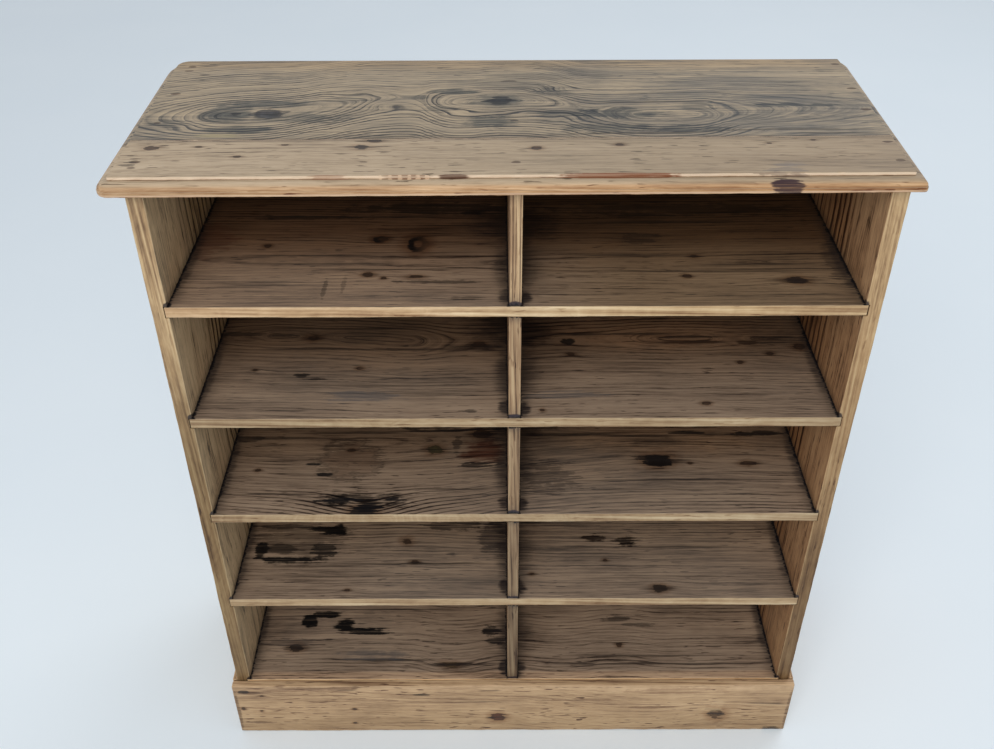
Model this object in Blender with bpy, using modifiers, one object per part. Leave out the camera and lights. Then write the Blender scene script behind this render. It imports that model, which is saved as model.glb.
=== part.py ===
"""Open compartment cabinet in old pine: five rows of two compartments under a moulded top.

Metres, +Z up, the open front faces -Y. The origin is on the floor, under the middle of the
whole cabinet's box. The carcass hangs on one empty whose own origin is on the floor, halfway
between the two sides, in the plane of their front edges.
"""
import math

import bmesh
import bpy

NAME = "compartment_cabinet"

# Overall height, floor to the top's upper face
CABINET_HEIGHT = 1.139

# Carcass: two sides standing on the floor
CARCASS_WIDTH = 1.000
CARCASS_DEPTH = 0.382
SIDE_THICKNESS = 0.024

# Shelves. The clear heights of the rows go from the bottom row up, and the top row, which
# is not listed, takes what the cabinet's height leaves
LOWER_ROW_HEIGHTS = (0.197, 0.1805, 0.1775, 0.179)
SHELF_THICKNESS = 0.0175
HOUSING_DEPTH = 0.006
HOUSING_SLACK = 0.0010

# Upright dividers between the two columns, a little to the left of the middle
DIVIDER_THICKNESS = 0.018
DIVIDER_OFFSET = -0.0013

# Top: two boards edge to edge with a moulded edge on the front and both ends
TOP_THICKNESS = 0.021
TOP_OVERHANG_LEFT = 0.027
TOP_OVERHANG_RIGHT = 0.013
TOP_OVERHANG_FRONT = 0.028
TOP_SKEW = 0.008
TOP_FRONT_BOARD_WIDTH = 0.1225
TOP_CORNER_LEFT = 0.017
TOP_CORNER_RIGHT = 0.006
MOULDING_REACH = 0.015
MOULDING_LAND = 0.007
MOULDING_STEP = 0.0008
MOULDING_QUIRK = 0.0015
MOULDING_FILLET = 0.0045
OVOLO_STEPS = 8
CORNER_STEPS = 6

# Back: tongued and grooved boards standing in a rebate of the sides
BACK_THICKNESS = 0.011
BACK_BOARD_COUNT = 8
BACK_FOOT = 0.015
REBATE_WIDTH = 0.010
TONGUE_LENGTH = 0.006
TONGUE_THICKNESS = 0.004
JOINT_CHAMFER = 0.0012

# Plinth round the foot, planted on the front and on both sides
PLINTH_HEIGHT = 0.1335
PLINTH_THICKNESS = 0.015
PLINTH_RETURN_THICKNESS = 0.008

# Blocks glued behind the plinth, under the bottom shelf
BLOCK_SIZE = 0.032
MIDDLE_BLOCK_LENGTH = 0.120
BLOCK_FOOT = 0.006

# Nails: through the top into the sides and the top divider, and through the plinth
NAIL_LENGTH = 0.045
PLINTH_NAIL_LENGTH = 0.038
NAIL_RADIUS = 0.0013
NAIL_HEAD_RADIUS = 0.0023
NAIL_HEAD_THICKNESS = 0.0010
NAIL_POINT_LENGTH = 0.004
NAIL_SUNK = 0.0008
NAIL_SIDES = 10
FRONT_NAILS_LEFT = (0.014, 0.031)
FRONT_NAIL_RIGHT = 0.029
JOINT_NAIL_RIGHT = 0.018
FRONT_NAIL_DIVIDER = 0.027
BACK_NAIL_SHARES_LEFT = (0.20, 0.55, 0.86, 0.92)
BACK_NAIL_SHARES_RIGHT = (0.31, 0.58, 0.925)
PLINTH_NAIL_FOOT = 0.028
PLINTH_NAIL_HEAD = 0.017

# Gap left between pieces that touch, and the wear on their arrises
GAP = 0.0003
ARRIS = 0.0012
PLINTH_ARRIS = 0.0030
CUT_MARGIN = 0.01

# Faces that meet at less than this are one rounded surface
SMOOTH_ANGLE = math.radians(40)

# Places that follow from the sizes above
HALF_WIDTH = CARCASS_WIDTH / 2
INNER_X = HALF_WIDTH - SIDE_THICKNESS
SIDE_CENTRE_X = HALF_WIDTH - SIDE_THICKNESS / 2
UNDERSIDE = CABINET_HEIGHT - TOP_THICKNESS
BACK_FACE = CARCASS_DEPTH - BACK_THICKNESS
JOINT_Y = TOP_FRONT_BOARD_WIDTH - TOP_OVERHANG_FRONT
TOP_LEFT = -HALF_WIDTH - TOP_OVERHANG_LEFT
TOP_RIGHT = HALF_WIDTH + TOP_OVERHANG_RIGHT


def clear_scene():
    """Remove what the file holds, so that only the cabinet is left."""
    for thing in list(bpy.data.objects):
        bpy.data.objects.remove(thing, do_unlink=True)


def new_collection(name):
    collection = bpy.data.collections.new(name)
    bpy.context.scene.collection.children.link(collection)
    return collection


def make_material(name, colour, roughness, metallic=0.0):
    """A plain Principled material for one kind of piece."""
    material = bpy.data.materials.new(name)
    material.use_nodes = True
    shader = material.node_tree.nodes["Principled BSDF"]
    shader.inputs["Base Color"].default_value = (*colour, 1.0)
    shader.inputs["Roughness"].default_value = roughness
    shader.inputs["Metallic"].default_value = metallic
    material.diffuse_color = (*colour, 1.0)
    return material


def shelf_tops():
    """Heights of the shelves' upper faces, from the top row's shelf to the bottom shelf."""
    tops = [PLINTH_HEIGHT]
    for clear in LOWER_ROW_HEIGHTS:
        tops.append(tops[-1] + clear + SHELF_THICKNESS)
    return tops[::-1]


def skew(x):
    """How far the top's front board is turned back at x: nothing at its left end."""
    return TOP_SKEW * (x - TOP_LEFT) / (TOP_RIGHT - TOP_LEFT)


def mesh_from(bm, name):
    """Turn a bmesh into an object's mesh, with its faces pointing out."""
    bmesh.ops.recalc_face_normals(bm, faces=bm.faces)
    mesh = bpy.data.meshes.new(name)
    bm.to_mesh(mesh)
    bm.free()
    return mesh


def place(name, mesh, collection, material=None, location=(0, 0, 0)):
    """Link one named object under the carcass empty."""
    piece = bpy.data.objects.new(name, mesh)
    collection.objects.link(piece)
    piece.parent = CARCASS
    piece.location = location
    if material is not None:
        mesh.materials.append(material)
    return piece


def box_mesh(name, low, high):
    """A box between two corners, about its own centre, and the centre's place."""
    size = [b - a for a, b in zip(low, high)]
    centre = [(a + b) / 2 for a, b in zip(low, high)]
    bm = bmesh.new()
    bmesh.ops.create_cube(bm, size=1.0)
    bmesh.ops.scale(bm, vec=size, verts=bm.verts)
    return mesh_from(bm, name), centre


def add_bevel(piece, width, segments=2):
    bevel = piece.modifiers.new("arris", "BEVEL")
    bevel.width = width
    bevel.segments = segments
    bevel.limit_method = "ANGLE"
    bevel.angle_limit = SMOOTH_ANGLE


def board(name, low, high, material, arris=ARRIS):
    """One sawn and planed board, its arrises eased by wear."""
    mesh, centre = box_mesh(name, low, high)
    piece = place(name, mesh, PARTS, material, centre)
    add_bevel(piece, min(arris, 0.3 * min(b - a for a, b in zip(low, high))))
    return piece


def cut_box(piece, name, low, high):
    """Cut a straight-sided recess out of a piece."""
    mesh, centre = box_mesh(name, low, high)
    add_cut(piece, place(name, mesh, CUTTERS, None, centre))


def add_cut(piece, cutter):
    cutter.hide_render = True
    cutter.display_type = "WIRE"
    boolean = piece.modifiers.new("cut_" + cutter.name, "BOOLEAN")
    boolean.operation = "DIFFERENCE"
    boolean.solver = "EXACT"
    boolean.object = cutter


def moulding_profile():
    """The moulded edge from the underside up: how far in from the nose, and how high."""
    rise = TOP_THICKNESS - MOULDING_LAND - MOULDING_FILLET
    run = MOULDING_REACH - MOULDING_STEP - MOULDING_QUIRK
    points = [(0.0, 0.0), (0.0, MOULDING_LAND)]
    for step in range(OVOLO_STEPS + 1):
        angle = math.radians(90) * step / OVOLO_STEPS
        inward = MOULDING_STEP + run * (1 - math.cos(angle))
        points.append((inward, MOULDING_LAND + rise * math.sin(angle)))
    points.append((MOULDING_REACH, TOP_THICKNESS - MOULDING_FILLET))
    points.append((MOULDING_REACH, TOP_THICKNESS))
    return points


def corner_arc(x, y, side, radius, inset):
    """Plan points round one front corner at an inset, from the end round to the front."""
    left = max(radius - inset, 0.0)
    centre_x = x + side * (inset + left)
    centre_y = y + inset + left
    points = []
    for step in range(CORNER_STEPS + 1):
        angle = math.radians(90) * step / CORNER_STEPS
        points.append((centre_x - side * left * math.cos(angle), centre_y - left * math.sin(angle)))
    return points


def front_board_outline(inset):
    """Plan of the front board at one inset of its moulding, anticlockwise from the joint."""
    front = -TOP_OVERHANG_FRONT
    left = corner_arc(TOP_LEFT, front, 1, TOP_CORNER_LEFT, inset)
    right = corner_arc(TOP_RIGHT, front, -1, TOP_CORNER_RIGHT, inset)
    joint = JOINT_Y - GAP / 2
    points = [(TOP_LEFT + inset, joint)] + left + right[::-1] + [(TOP_RIGHT - inset, joint)]
    return [(x, y + skew(x)) for x, y in points]


def back_board_outline(inset):
    """Plan of the back board at one inset of its moulding, anticlockwise from the back left."""
    left, right = TOP_LEFT + inset, TOP_RIGHT - inset
    joint = JOINT_Y + GAP / 2
    return [
        (left, CARCASS_DEPTH),
        (left, joint + skew(left)),
        (right, joint + skew(right)),
        (right, CARCASS_DEPTH),
    ]


def moulded_board(name, outline, sawn_edges):
    """A top board: its plan at every point of the moulding, lofted and closed.

    An edge of the plan in sawn_edges has no moulding, and gets one flat face.
    """
    bm = bmesh.new()
    rings = []
    for inset, rise in moulding_profile():
        rings.append([bm.verts.new((x, y, UNDERSIDE + rise)) for x, y in outline(inset)])
    count = len(rings[0])
    for start in range(count):
        end = (start + 1) % count
        if start in sawn_edges:
            bm.faces.new([ring[start] for ring in rings] + [ring[end] for ring in rings[::-1]])
            continue
        for lower, upper in zip(rings, rings[1:]):
            bm.faces.new((lower[start], lower[end], upper[end], upper[start]))
    bm.faces.new(rings[0][::-1])
    bm.faces.new(rings[-1])
    bmesh.ops.remove_doubles(bm, verts=bm.verts, dist=0.000001)
    piece = place(name, mesh_from(bm, name), PARTS, TOP_PINE)
    round_off(piece.data)
    return piece


def round_off(mesh):
    """Shade a mesh's round faces smooth, and keep its corners crisp."""
    mesh.shade_smooth()
    mesh.set_sharp_from_angle(angle=SMOOTH_ANGLE)


def turned(name, profile, collection, material, sides):
    """A solid of revolution about Z, from a profile that runs down its outer side."""
    bm = bmesh.new()
    verts = [bm.verts.new((radius, 0, height)) for radius, height in profile]
    for first, second in zip(verts, verts[1:]):
        bm.edges.new((first, second))
    mesh = bpy.data.meshes.new(name)
    bm.to_mesh(mesh)
    bm.free()
    piece = place(name, mesh, collection, material)
    screw = piece.modifiers.new("turn", "SCREW")
    screw.axis = "Z"
    screw.steps = sides
    screw.render_steps = sides
    screw.use_merge_vertices = True
    screw.merge_threshold = 0.00001
    built = piece.evaluated_get(bpy.context.evaluated_depsgraph_get())
    solid = bpy.data.meshes.new_from_object(built)
    piece.modifiers.remove(screw)
    piece.data = solid
    bpy.data.meshes.remove(mesh)
    solid.name = name
    round_off(solid)
    return piece


def nail(name, location, turn, length, holders):
    """A nail and its hole. Its head faces +Z, or the way that turn tips it."""
    neck = -NAIL_SUNK - NAIL_HEAD_THICKNESS
    point = -NAIL_SUNK - length
    shaft = [
        (0.0, -NAIL_SUNK),
        (NAIL_HEAD_RADIUS, -NAIL_SUNK),
        (NAIL_HEAD_RADIUS, neck),
        (NAIL_RADIUS, neck),
        (NAIL_RADIUS, point + NAIL_POINT_LENGTH),
        (0.0, point),
    ]
    wide = NAIL_HEAD_RADIUS + GAP
    narrow = NAIL_RADIUS + GAP
    hole = [
        (0.0, CUT_MARGIN),
        (wide, CUT_MARGIN),
        (wide, neck - GAP),
        (narrow, neck - GAP),
        (narrow, point + NAIL_POINT_LENGTH),
        (0.0, point - GAP * 2),
    ]
    piece = turned(name, shaft, PARTS, NAIL_IRON, NAIL_SIDES)
    cutter = turned("hole_" + name, hole, CUTTERS, None, NAIL_SIDES)
    for thing in (piece, cutter):
        thing.location = location
        thing.rotation_euler = turn
    for holder in holders:
        add_cut(holder, cutter)


def outline_solid(name, points, low, high, material):
    """A flat outline in plan, extruded between two heights."""
    curve = bpy.data.curves.new(name, "CURVE")
    curve.dimensions = "2D"
    curve.fill_mode = "BOTH"
    curve.extrude = (high - low) / 2
    spline = curve.splines.new("POLY")
    spline.points.add(len(points) - 1)
    for slot, (x, y) in zip(spline.points, points):
        slot.co = (x, y, 0, 1)
    spline.use_cyclic_u = True
    return place(name, curve, PARTS, material, (0, 0, (low + high) / 2))


def make_top():
    joint_edge = len(front_board_outline(0.0)) - 1
    front = moulded_board("top_front_board", front_board_outline, (joint_edge,))
    back = moulded_board("top_back_board", back_board_outline, (1, 3))
    return front, back


def make_side(name, hand):
    """One side: housings for the shelves, and a rebate down its back edge."""
    outer, inner = hand * HALF_WIDTH, hand * INNER_X
    low = (min(outer, inner), 0.0, 0.0)
    high = (max(outer, inner), CARCASS_DEPTH, UNDERSIDE - GAP)
    side = board(name, low, high, SIDE_PINE)
    bottom = inner + hand * HOUSING_DEPTH
    open_side = inner - hand * CUT_MARGIN
    for number, top in enumerate(shelf_tops(), 1):
        cut_box(
            side,
            f"housing_{name}_{number}",
            (min(bottom, open_side), -CUT_MARGIN, top - SHELF_THICKNESS - GAP),
            (max(bottom, open_side), CARCASS_DEPTH + CUT_MARGIN, top + HOUSING_SLACK),
        )
    bottom = inner + hand * REBATE_WIDTH
    cut_box(
        side,
        f"rebate_{name}",
        (min(bottom, open_side), BACK_FACE - GAP, -CUT_MARGIN),
        (max(bottom, open_side), CARCASS_DEPTH + CUT_MARGIN, UNDERSIDE + CUT_MARGIN),
    )
    return side


def make_shelves():
    """Shelves from side to side, their ends in the housings, their fronts flush."""
    reach = INNER_X + HOUSING_DEPTH - GAP
    for number, top in enumerate(shelf_tops(), 1):
        name = "bottom_shelf" if top == PLINTH_HEIGHT else f"shelf_{number}"
        board(
            name,
            (-reach, 0.0, top - SHELF_THICKNESS),
            (reach, BACK_FACE - GAP, top),
            SHELF_PINE,
        )


def make_dividers():
    """One short upright in each row, standing on its shelf."""
    left = DIVIDER_OFFSET - DIVIDER_THICKNESS / 2
    right = DIVIDER_OFFSET + DIVIDER_THICKNESS / 2
    dividers = []
    ceiling = UNDERSIDE
    for number, foot in enumerate(shelf_tops(), 1):
        dividers.append(
            board(
                f"divider_{number}",
                (left, 0.0, foot + GAP),
                (right, BACK_FACE - GAP, ceiling - GAP),
                DIVIDER_PINE,
            )
        )
        ceiling = foot - SHELF_THICKNESS
    return dividers


def back_outline(left, right, first, last):
    """Plan of one back board: a groove at its left edge and a tongue at its right."""
    inner, outer = BACK_FACE, CARCASS_DEPTH
    middle = (inner + outer) / 2
    tongue = TONGUE_THICKNESS / 2
    groove = tongue + GAP
    groove_depth = TONGUE_LENGTH + GAP
    points = [(left + JOINT_CHAMFER, inner), (left, inner + JOINT_CHAMFER)]
    if not first:
        points += [
            (left, middle - groove),
            (left + groove_depth, middle - groove),
            (left + groove_depth, middle + groove),
            (left, middle + groove),
        ]
    points += [(left, outer), (right, outer)]
    if not last:
        points += [
            (right, middle + tongue),
            (right + TONGUE_LENGTH, middle + tongue),
            (right + TONGUE_LENGTH, middle - tongue),
            (right, middle - tongue),
        ]
    points += [(right, inner + JOINT_CHAMFER), (right - JOINT_CHAMFER, inner)]
    return points


def make_back():
    """Upright boards across the back, between the rebates of the two sides."""
    edge = INNER_X + REBATE_WIDTH
    pitch = 2 * edge / BACK_BOARD_COUNT
    for number in range(BACK_BOARD_COUNT):
        left = -edge + number * pitch + (GAP if number == 0 else GAP / 2)
        last = number == BACK_BOARD_COUNT - 1
        right = -edge + (number + 1) * pitch - (GAP if last else GAP / 2)
        outline_solid(
            f"back_board_{number + 1}",
            back_outline(left, right, number == 0, last),
            BACK_FOOT,
            UNDERSIDE - GAP,
            BACK_PINE,
        )


def make_plinth():
    """The plinth's front board, and a return planted on each side behind it."""
    end = HALF_WIDTH + GAP + PLINTH_RETURN_THICKNESS
    front = board(
        "plinth_front",
        (-end, -GAP - PLINTH_THICKNESS, 0.0),
        (end, -GAP, PLINTH_HEIGHT),
        PLINTH_PINE,
        PLINTH_ARRIS,
    )
    for name, hand in (("plinth_left", -1), ("plinth_right", 1)):
        inner, outer = hand * (HALF_WIDTH + GAP), hand * end
        board(
            name,
            (min(inner, outer), 0.0, 0.0),
            (max(inner, outer), CARCASS_DEPTH, PLINTH_HEIGHT),
            PLINTH_PINE,
        )
    return front


def make_blocks():
    """Glue blocks in the corners behind the plinth, and one in the middle."""
    top = PLINTH_HEIGHT - SHELF_THICKNESS - GAP
    corner = INNER_X - GAP
    for hand, start in (("left", -corner), ("right", corner - BLOCK_SIZE)):
        low = (start, 0.0, BLOCK_FOOT)
        high = (start + BLOCK_SIZE, BLOCK_SIZE, top)
        board(f"glue_block_{hand}", low, high, BLOCK_PINE)
    half = MIDDLE_BLOCK_LENGTH / 2
    board("glue_block_middle", (-half, 0.0, top - BLOCK_SIZE), (half, BLOCK_SIZE, top), BLOCK_PINE)


def make_top_nails(front, back, left_side, right_side, divider):
    """Nails down through the top boards, on the centre lines of what they hold."""
    upright = (0.0, 0.0, 0.0)
    front_right = (FRONT_NAIL_RIGHT, JOINT_Y + skew(SIDE_CENTRE_X) - JOINT_NAIL_RIGHT)
    sides = (
        ("left", -SIDE_CENTRE_X, left_side, FRONT_NAILS_LEFT, BACK_NAIL_SHARES_LEFT),
        ("right", SIDE_CENTRE_X, right_side, front_right, BACK_NAIL_SHARES_RIGHT),
    )
    for hand, x, side, from_front, shares in sides:
        joint = JOINT_Y + skew(x)
        for number, y in enumerate(from_front, 1):
            name = f"nail_top_front_{hand}_{number}"
            nail(name, (x, y, CABINET_HEIGHT), upright, NAIL_LENGTH, (front, side))
        for number, share in enumerate(shares, 1):
            y = joint + share * (CARCASS_DEPTH - joint)
            name = f"nail_top_back_{hand}_{number}"
            nail(name, (x, y, CABINET_HEIGHT), upright, NAIL_LENGTH, (back, side))
    place_on = (DIVIDER_OFFSET, FRONT_NAIL_DIVIDER, CABINET_HEIGHT)
    nail("nail_top_divider", place_on, upright, NAIL_LENGTH, (front, divider))


def make_plinth_nails(plinth, left_side, right_side):
    """Two nails at each end of the plinth, into the front edges of the sides."""
    forward = (math.radians(90), 0.0, 0.0)
    heights = (("low", PLINTH_NAIL_FOOT), ("high", PLINTH_HEIGHT - PLINTH_NAIL_HEAD))
    for hand, x, side in (("left", -SIDE_CENTRE_X, left_side), ("right", SIDE_CENTRE_X, right_side)):
        for level, z in heights:
            start = (x, -GAP - PLINTH_THICKNESS, z)
            nail(f"nail_plinth_{hand}_{level}", start, forward, PLINTH_NAIL_LENGTH, (plinth, side))


clear_scene()
PARTS = new_collection(NAME)
CUTTERS = new_collection(NAME + "_cutters")

CARCASS = bpy.data.objects.new("carcass_origin", None)
PARTS.objects.link(CARCASS)
CARCASS.location = (
    (TOP_OVERHANG_LEFT - TOP_OVERHANG_RIGHT) / 2,
    (TOP_OVERHANG_FRONT - CARCASS_DEPTH) / 2,
    0.0,
)

TOP_PINE = make_material("top_pine", (0.52, 0.37, 0.22), 0.55)
SIDE_PINE = make_material("side_pine", (0.60, 0.43, 0.26), 0.6)
SHELF_PINE = make_material("shelf_pine", (0.36, 0.27, 0.19), 0.65)
DIVIDER_PINE = make_material("divider_pine", (0.60, 0.43, 0.26), 0.6)
PLINTH_PINE = make_material("plinth_pine", (0.52, 0.37, 0.22), 0.55)
BACK_PINE = make_material("back_pine", (0.24, 0.17, 0.11), 0.75)
BLOCK_PINE = make_material("block_pine", (0.24, 0.17, 0.11), 0.8)
NAIL_IRON = make_material("nail_iron", (0.09, 0.07, 0.06), 0.6, 0.6)

top_front, top_back = make_top()
side_left = make_side("side_left", -1)
side_right = make_side("side_right", 1)
make_shelves()
uprights = make_dividers()
make_back()
plinth_front = make_plinth()
make_blocks()
make_top_nails(top_front, top_back, side_left, side_right, uprights[0])
make_plinth_nails(plinth_front, side_left, side_right)
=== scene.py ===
"""The looks of the open compartment cabinet: stripped and waxed old pine.

Metres, +Z up, the open front faces -Y. Each board of the frame, but for the back boards and the glue
blocks, is replaced by a worn board that fills the same box, and each board has its own pine: growth
rings round the heart of a log, bent by knots, with stains and dirt laid over them. Marks seen in the
photo are listed in millimetres, and in_metres turns them into metres.
"""
import inspect
import math
from dataclasses import dataclass, replace

import bmesh
import bpy
import numpy as np
from mathutils import Matrix, Vector, noise


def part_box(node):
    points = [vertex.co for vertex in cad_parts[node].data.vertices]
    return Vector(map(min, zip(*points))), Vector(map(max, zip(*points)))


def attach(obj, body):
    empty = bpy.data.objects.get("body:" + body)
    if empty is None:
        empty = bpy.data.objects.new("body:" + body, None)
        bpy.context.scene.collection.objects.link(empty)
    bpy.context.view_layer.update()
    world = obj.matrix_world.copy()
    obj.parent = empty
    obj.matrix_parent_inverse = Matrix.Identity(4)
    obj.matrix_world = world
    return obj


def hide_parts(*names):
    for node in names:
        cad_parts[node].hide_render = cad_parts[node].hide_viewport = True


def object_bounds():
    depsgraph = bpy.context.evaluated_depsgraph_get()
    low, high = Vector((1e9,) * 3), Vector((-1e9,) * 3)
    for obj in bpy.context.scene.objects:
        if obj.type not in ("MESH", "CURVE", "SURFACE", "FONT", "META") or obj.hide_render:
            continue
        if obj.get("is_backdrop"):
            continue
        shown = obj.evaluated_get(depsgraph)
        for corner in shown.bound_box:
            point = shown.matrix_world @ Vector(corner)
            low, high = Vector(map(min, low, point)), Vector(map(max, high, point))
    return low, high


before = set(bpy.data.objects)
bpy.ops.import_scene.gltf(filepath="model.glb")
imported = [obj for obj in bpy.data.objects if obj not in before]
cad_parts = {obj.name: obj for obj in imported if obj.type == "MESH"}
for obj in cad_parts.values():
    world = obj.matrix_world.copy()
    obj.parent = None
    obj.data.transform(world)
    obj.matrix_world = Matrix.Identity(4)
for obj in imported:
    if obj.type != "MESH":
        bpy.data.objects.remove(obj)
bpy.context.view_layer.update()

# Camera: place, turn to the right, tilt down and roll
CAMERA_PLACE = (-0.0185, -1.4065, 1.7424)
CAMERA_YAW = math.radians(-0.058)
CAMERA_PITCH = math.radians(36.817)
CAMERA_ROLL = math.radians(-0.223)
CAMERA_LENS = 38.97
SENSOR_WIDTH = 36.0

# Light: each lamp's name, place, size, power and colour; then the world and the floor
LAMPS = (
    ("key", (-0.5, -3.0, 3.2), (2.6, 1.8), 77.0, (1.0, 0.99, 0.97)),
    ("fill", (2.6, 2.8, 4.6), (2.6, 2.0), 50.0, (0.97, 0.99, 1.0)),
)
LAMP_TARGET = (0.0, 0.0, 0.6)
WORLD_LIGHT = 0.59
WORLD_SEEN = 1.0
WORLD_COLOUR = (0.90, 0.93, 0.97)
FLOOR_RADIUS = 14.0
FLOOR_COLOURS = ((0.83, 0.91, 0.97), (0.87, 0.94, 0.99))

# Top boards, as the frame has them, and their back corners, which are square there
TOP_CORNER_LEFT = 0.017
TOP_CORNER_RIGHT = 0.006
BACK_CORNER_LEFT = 0.018
BACK_CORNER_RIGHT = 0.002
TOP_SKEW = 0.008
MOULDING_REACH = 0.015
MOULDING_LAND = 0.007
MOULDING_STEP = 0.0008
MOULDING_QUIRK = 0.0015
MOULDING_FILLET = 0.0045
OVOLO_STEPS = 10

# Worn arrises of the top, at its moulding and at its joint, and the chips from the left
UPPER_ARRIS = 0.0011
LOWER_ARRIS = 0.0016
LOWER_EASE = 0.0008
UPPER_EASE = 0.0007
CHIP_DEPTH = 0.0034
CHIP_WIDTH = 0.004
CHIPS = (-0.164, -0.152, -0.140, -0.128, -0.117, -0.106, 0.354, 0.373, 0.422)

# Spacing of a board's mesh, and the closer lines beside each arris
GRID_STEP = 0.006
FACE_STEP = 0.012
TOP_DEPTH_STEP = 0.009
CORNER_STEP = 0.0018
LEFT_CORNER_REACH = 0.024
RIGHT_CORNER_REACH = 0.016
EDGE_LINES = (0.0, 0.0005, 0.0010, 0.0017, 0.0026, 0.0040)
SMOOTH_ANGLE = math.radians(42)

# Cuts: room round a shelf and a nail, and how far a cutter stands out of the wood
HOUSING_GAP = 0.0004
HOUSING_SLACK = 0.0009
NAIL_HOLE_SLACK = 0.0004
CUT_PAST = 0.01

# How far the arrises of each kind of board are worn
SHELF_WEAR = 0.0014
SIDE_WEAR = 0.0016
DIVIDER_WEAR = 0.0012
PLINTH_WEAR = 0.0024

# The wax's roughness, the depth of the grain's relief, and how softly a moulding's stripe ends
ROUGHNESS = 0.52
BUMP_DISTANCE = 0.0008
BAND_BLUR = 0.0004


class Wire:
    """An output socket that takes part in sums; each operation is one Math node."""

    def __init__(self, graph, socket):
        self.graph = graph
        self.socket = socket

    def apply(self, operation, *others):
        return self.graph.math(operation, self, *others)

    def __add__(self, other):
        return self.apply("ADD", other)

    def __sub__(self, other):
        return self.apply("SUBTRACT", other)

    def __rsub__(self, other):
        return self.graph.math("SUBTRACT", other, self)

    def __mul__(self, other):
        return self.apply("MULTIPLY", other)

    def __truediv__(self, other):
        return self.apply("DIVIDE", other)

    __radd__ = __add__
    __rmul__ = __mul__

    def smooth(self, low, high, start=0.0, end=1.0):
        """From start to end in a smooth step, as this goes from low to high."""
        inputs = {"Value": self, "From Min": low, "From Max": high, "To Min": start, "To Max": end}
        return self.graph.wire(self.graph.node("MapRange", inputs, interpolation_type="SMOOTHSTEP"))


class Graph:
    """The node tree of one material or group, and short ways to add to it."""

    def __init__(self, tree):
        self.tree = tree

    def node(self, kind, inputs, **settings):
        made = self.tree.nodes.new("ShaderNode" + kind)
        for key, value in settings.items():
            setattr(made, key, value)
        for key, value in inputs.items():
            self.feed(made.inputs[key], value)
        return made

    def feed(self, socket, value):
        """Link a wire to a socket, or set the socket's own value."""
        if isinstance(value, Wire):
            self.tree.links.new(value.socket, socket)
        elif socket.type == "RGBA":
            socket.default_value = (*value, 1.0)
        else:
            socket.default_value = value

    def wire(self, node, output=0):
        return Wire(self, node.outputs[output])

    def math(self, operation, *values):
        return self.wire(self.node("Math", dict(enumerate(values)), operation=operation))

    def vector(self, x, y, z):
        return self.wire(self.node("CombineXYZ", {"X": x, "Y": y, "Z": z}))

    def call(self, group, **values):
        """Use a node group with those of the values that it takes, and give its outputs by name."""
        made = self.node("Group", {}, node_tree=group)
        for socket in made.inputs:
            self.feed(socket, values[socket.name])
        return {socket.name: Wire(self, socket) for socket in made.outputs}

    def split(self, vector):
        parts = self.node("SeparateXYZ", {"Vector": vector})
        return [self.wire(parts, number) for number in range(3)]

    def noise(self, vector, detail, roughness=0.5, output="Fac"):
        inputs = {"Vector": vector, "Scale": 1.0, "Detail": detail, "Roughness": roughness}
        return self.wire(self.node("TexNoise", inputs), output)

    def three_noises(self, vector, detail):
        return self.split(self.noise(vector, detail, output="Color"))

    def random(self, value):
        return self.wire(self.node("TexWhiteNoise", {"W": value}, noise_dimensions="1D"), "Value")

    def mix(self, factor, first, second, blend="MIX"):
        """Colour mix: first at factor 0, second at factor 1."""
        made = self.node("Mix", {0: factor, 6: first, 7: second}, data_type="RGBA", blend_type=blend)
        return self.wire(made, 2)

    def colours(self, value, stops):
        """A smooth range of colours along value, from stops of (place, colour)."""
        made = self.node("ValToRGB", {"Fac": value})
        elements = made.color_ramp.elements
        while len(elements) < len(stops):
            elements.new(0.5)
        for element, (place, colour) in zip(elements, stops):
            element.position = place
            element.color = (*colour, 1.0)
        return self.wire(made, "Color")

    def path(self, value, points):
        """A smooth curve of value through points of (value, result), given from low to high."""
        low, high = points[0][0], points[-1][0]
        least = min(y for x, y in points)
        most = max(y for x, y in points)
        if most == least:
            return least
        made = self.node("FloatCurve", {"Value": (value - low) / (high - low)})
        curve = made.mapping.curves[0]
        while len(curve.points) < len(points):
            curve.points.new(0.5, 0.5)
        for slot, (x, y) in zip(curve.points, points):
            slot.location = ((x - low) / (high - low), (y - least) / (most - least))
        made.mapping.update()
        return self.wire(made) * (most - least) + least


def new_material(name):
    """A material, the graph of its nodes, and its shader's inputs."""
    material = bpy.data.materials.new(name)
    material.use_nodes = True
    tree = material.node_tree
    return material, Graph(tree), tree.nodes["Principled BSDF"].inputs


def node_group(build):
    """A node group of a function that takes a wire for each input and gives one for each output."""
    tree = bpy.data.node_groups.new(build.__name__, "ShaderNodeTree")

    def add_sockets(names, way):
        for name in names:
            kind = "Color" if name in ("colour", "tint") else "Float"
            tree.interface.new_socket(name, in_out=way, socket_type="NodeSocket" + kind)

    add_sockets(list(inspect.signature(build).parameters)[1:], "INPUT")
    g = Graph(tree)
    given = tree.nodes.new("NodeGroupInput")
    results = build(g, **{socket.name: Wire(g, socket) for socket in given.outputs if socket.name})
    add_sockets(results, "OUTPUT")
    taken = tree.nodes.new("NodeGroupOutput")
    for name, wire in results.items():
        g.feed(taken.inputs[name], wire)
    return tree


@dataclass
class Knot:
    """A knot: its place, its size, and how far it is stretched along the grain.

    It lifts swirl rings round it, as far out as reach and bend say, and darkens them by force.
    Halo is the resin round it, open how much of it is missing, and tail how far its trails go.
    """

    along: float
    across: float
    size: float
    stretch: float = 1.2
    swirl: float = 0.5
    reach: float = 2.4
    bend: float = 2.8
    dark: float = 0.85
    tint: tuple = (70, 48, 35)
    halo: float = 0.6
    open: float = 0.0
    tail: float = 3.0
    force: float = 0.0

    def bent(self):
        width = self.size * self.reach
        return Bend(self.along, self.across, width * self.bend, width, self.swirl, self.force)


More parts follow.
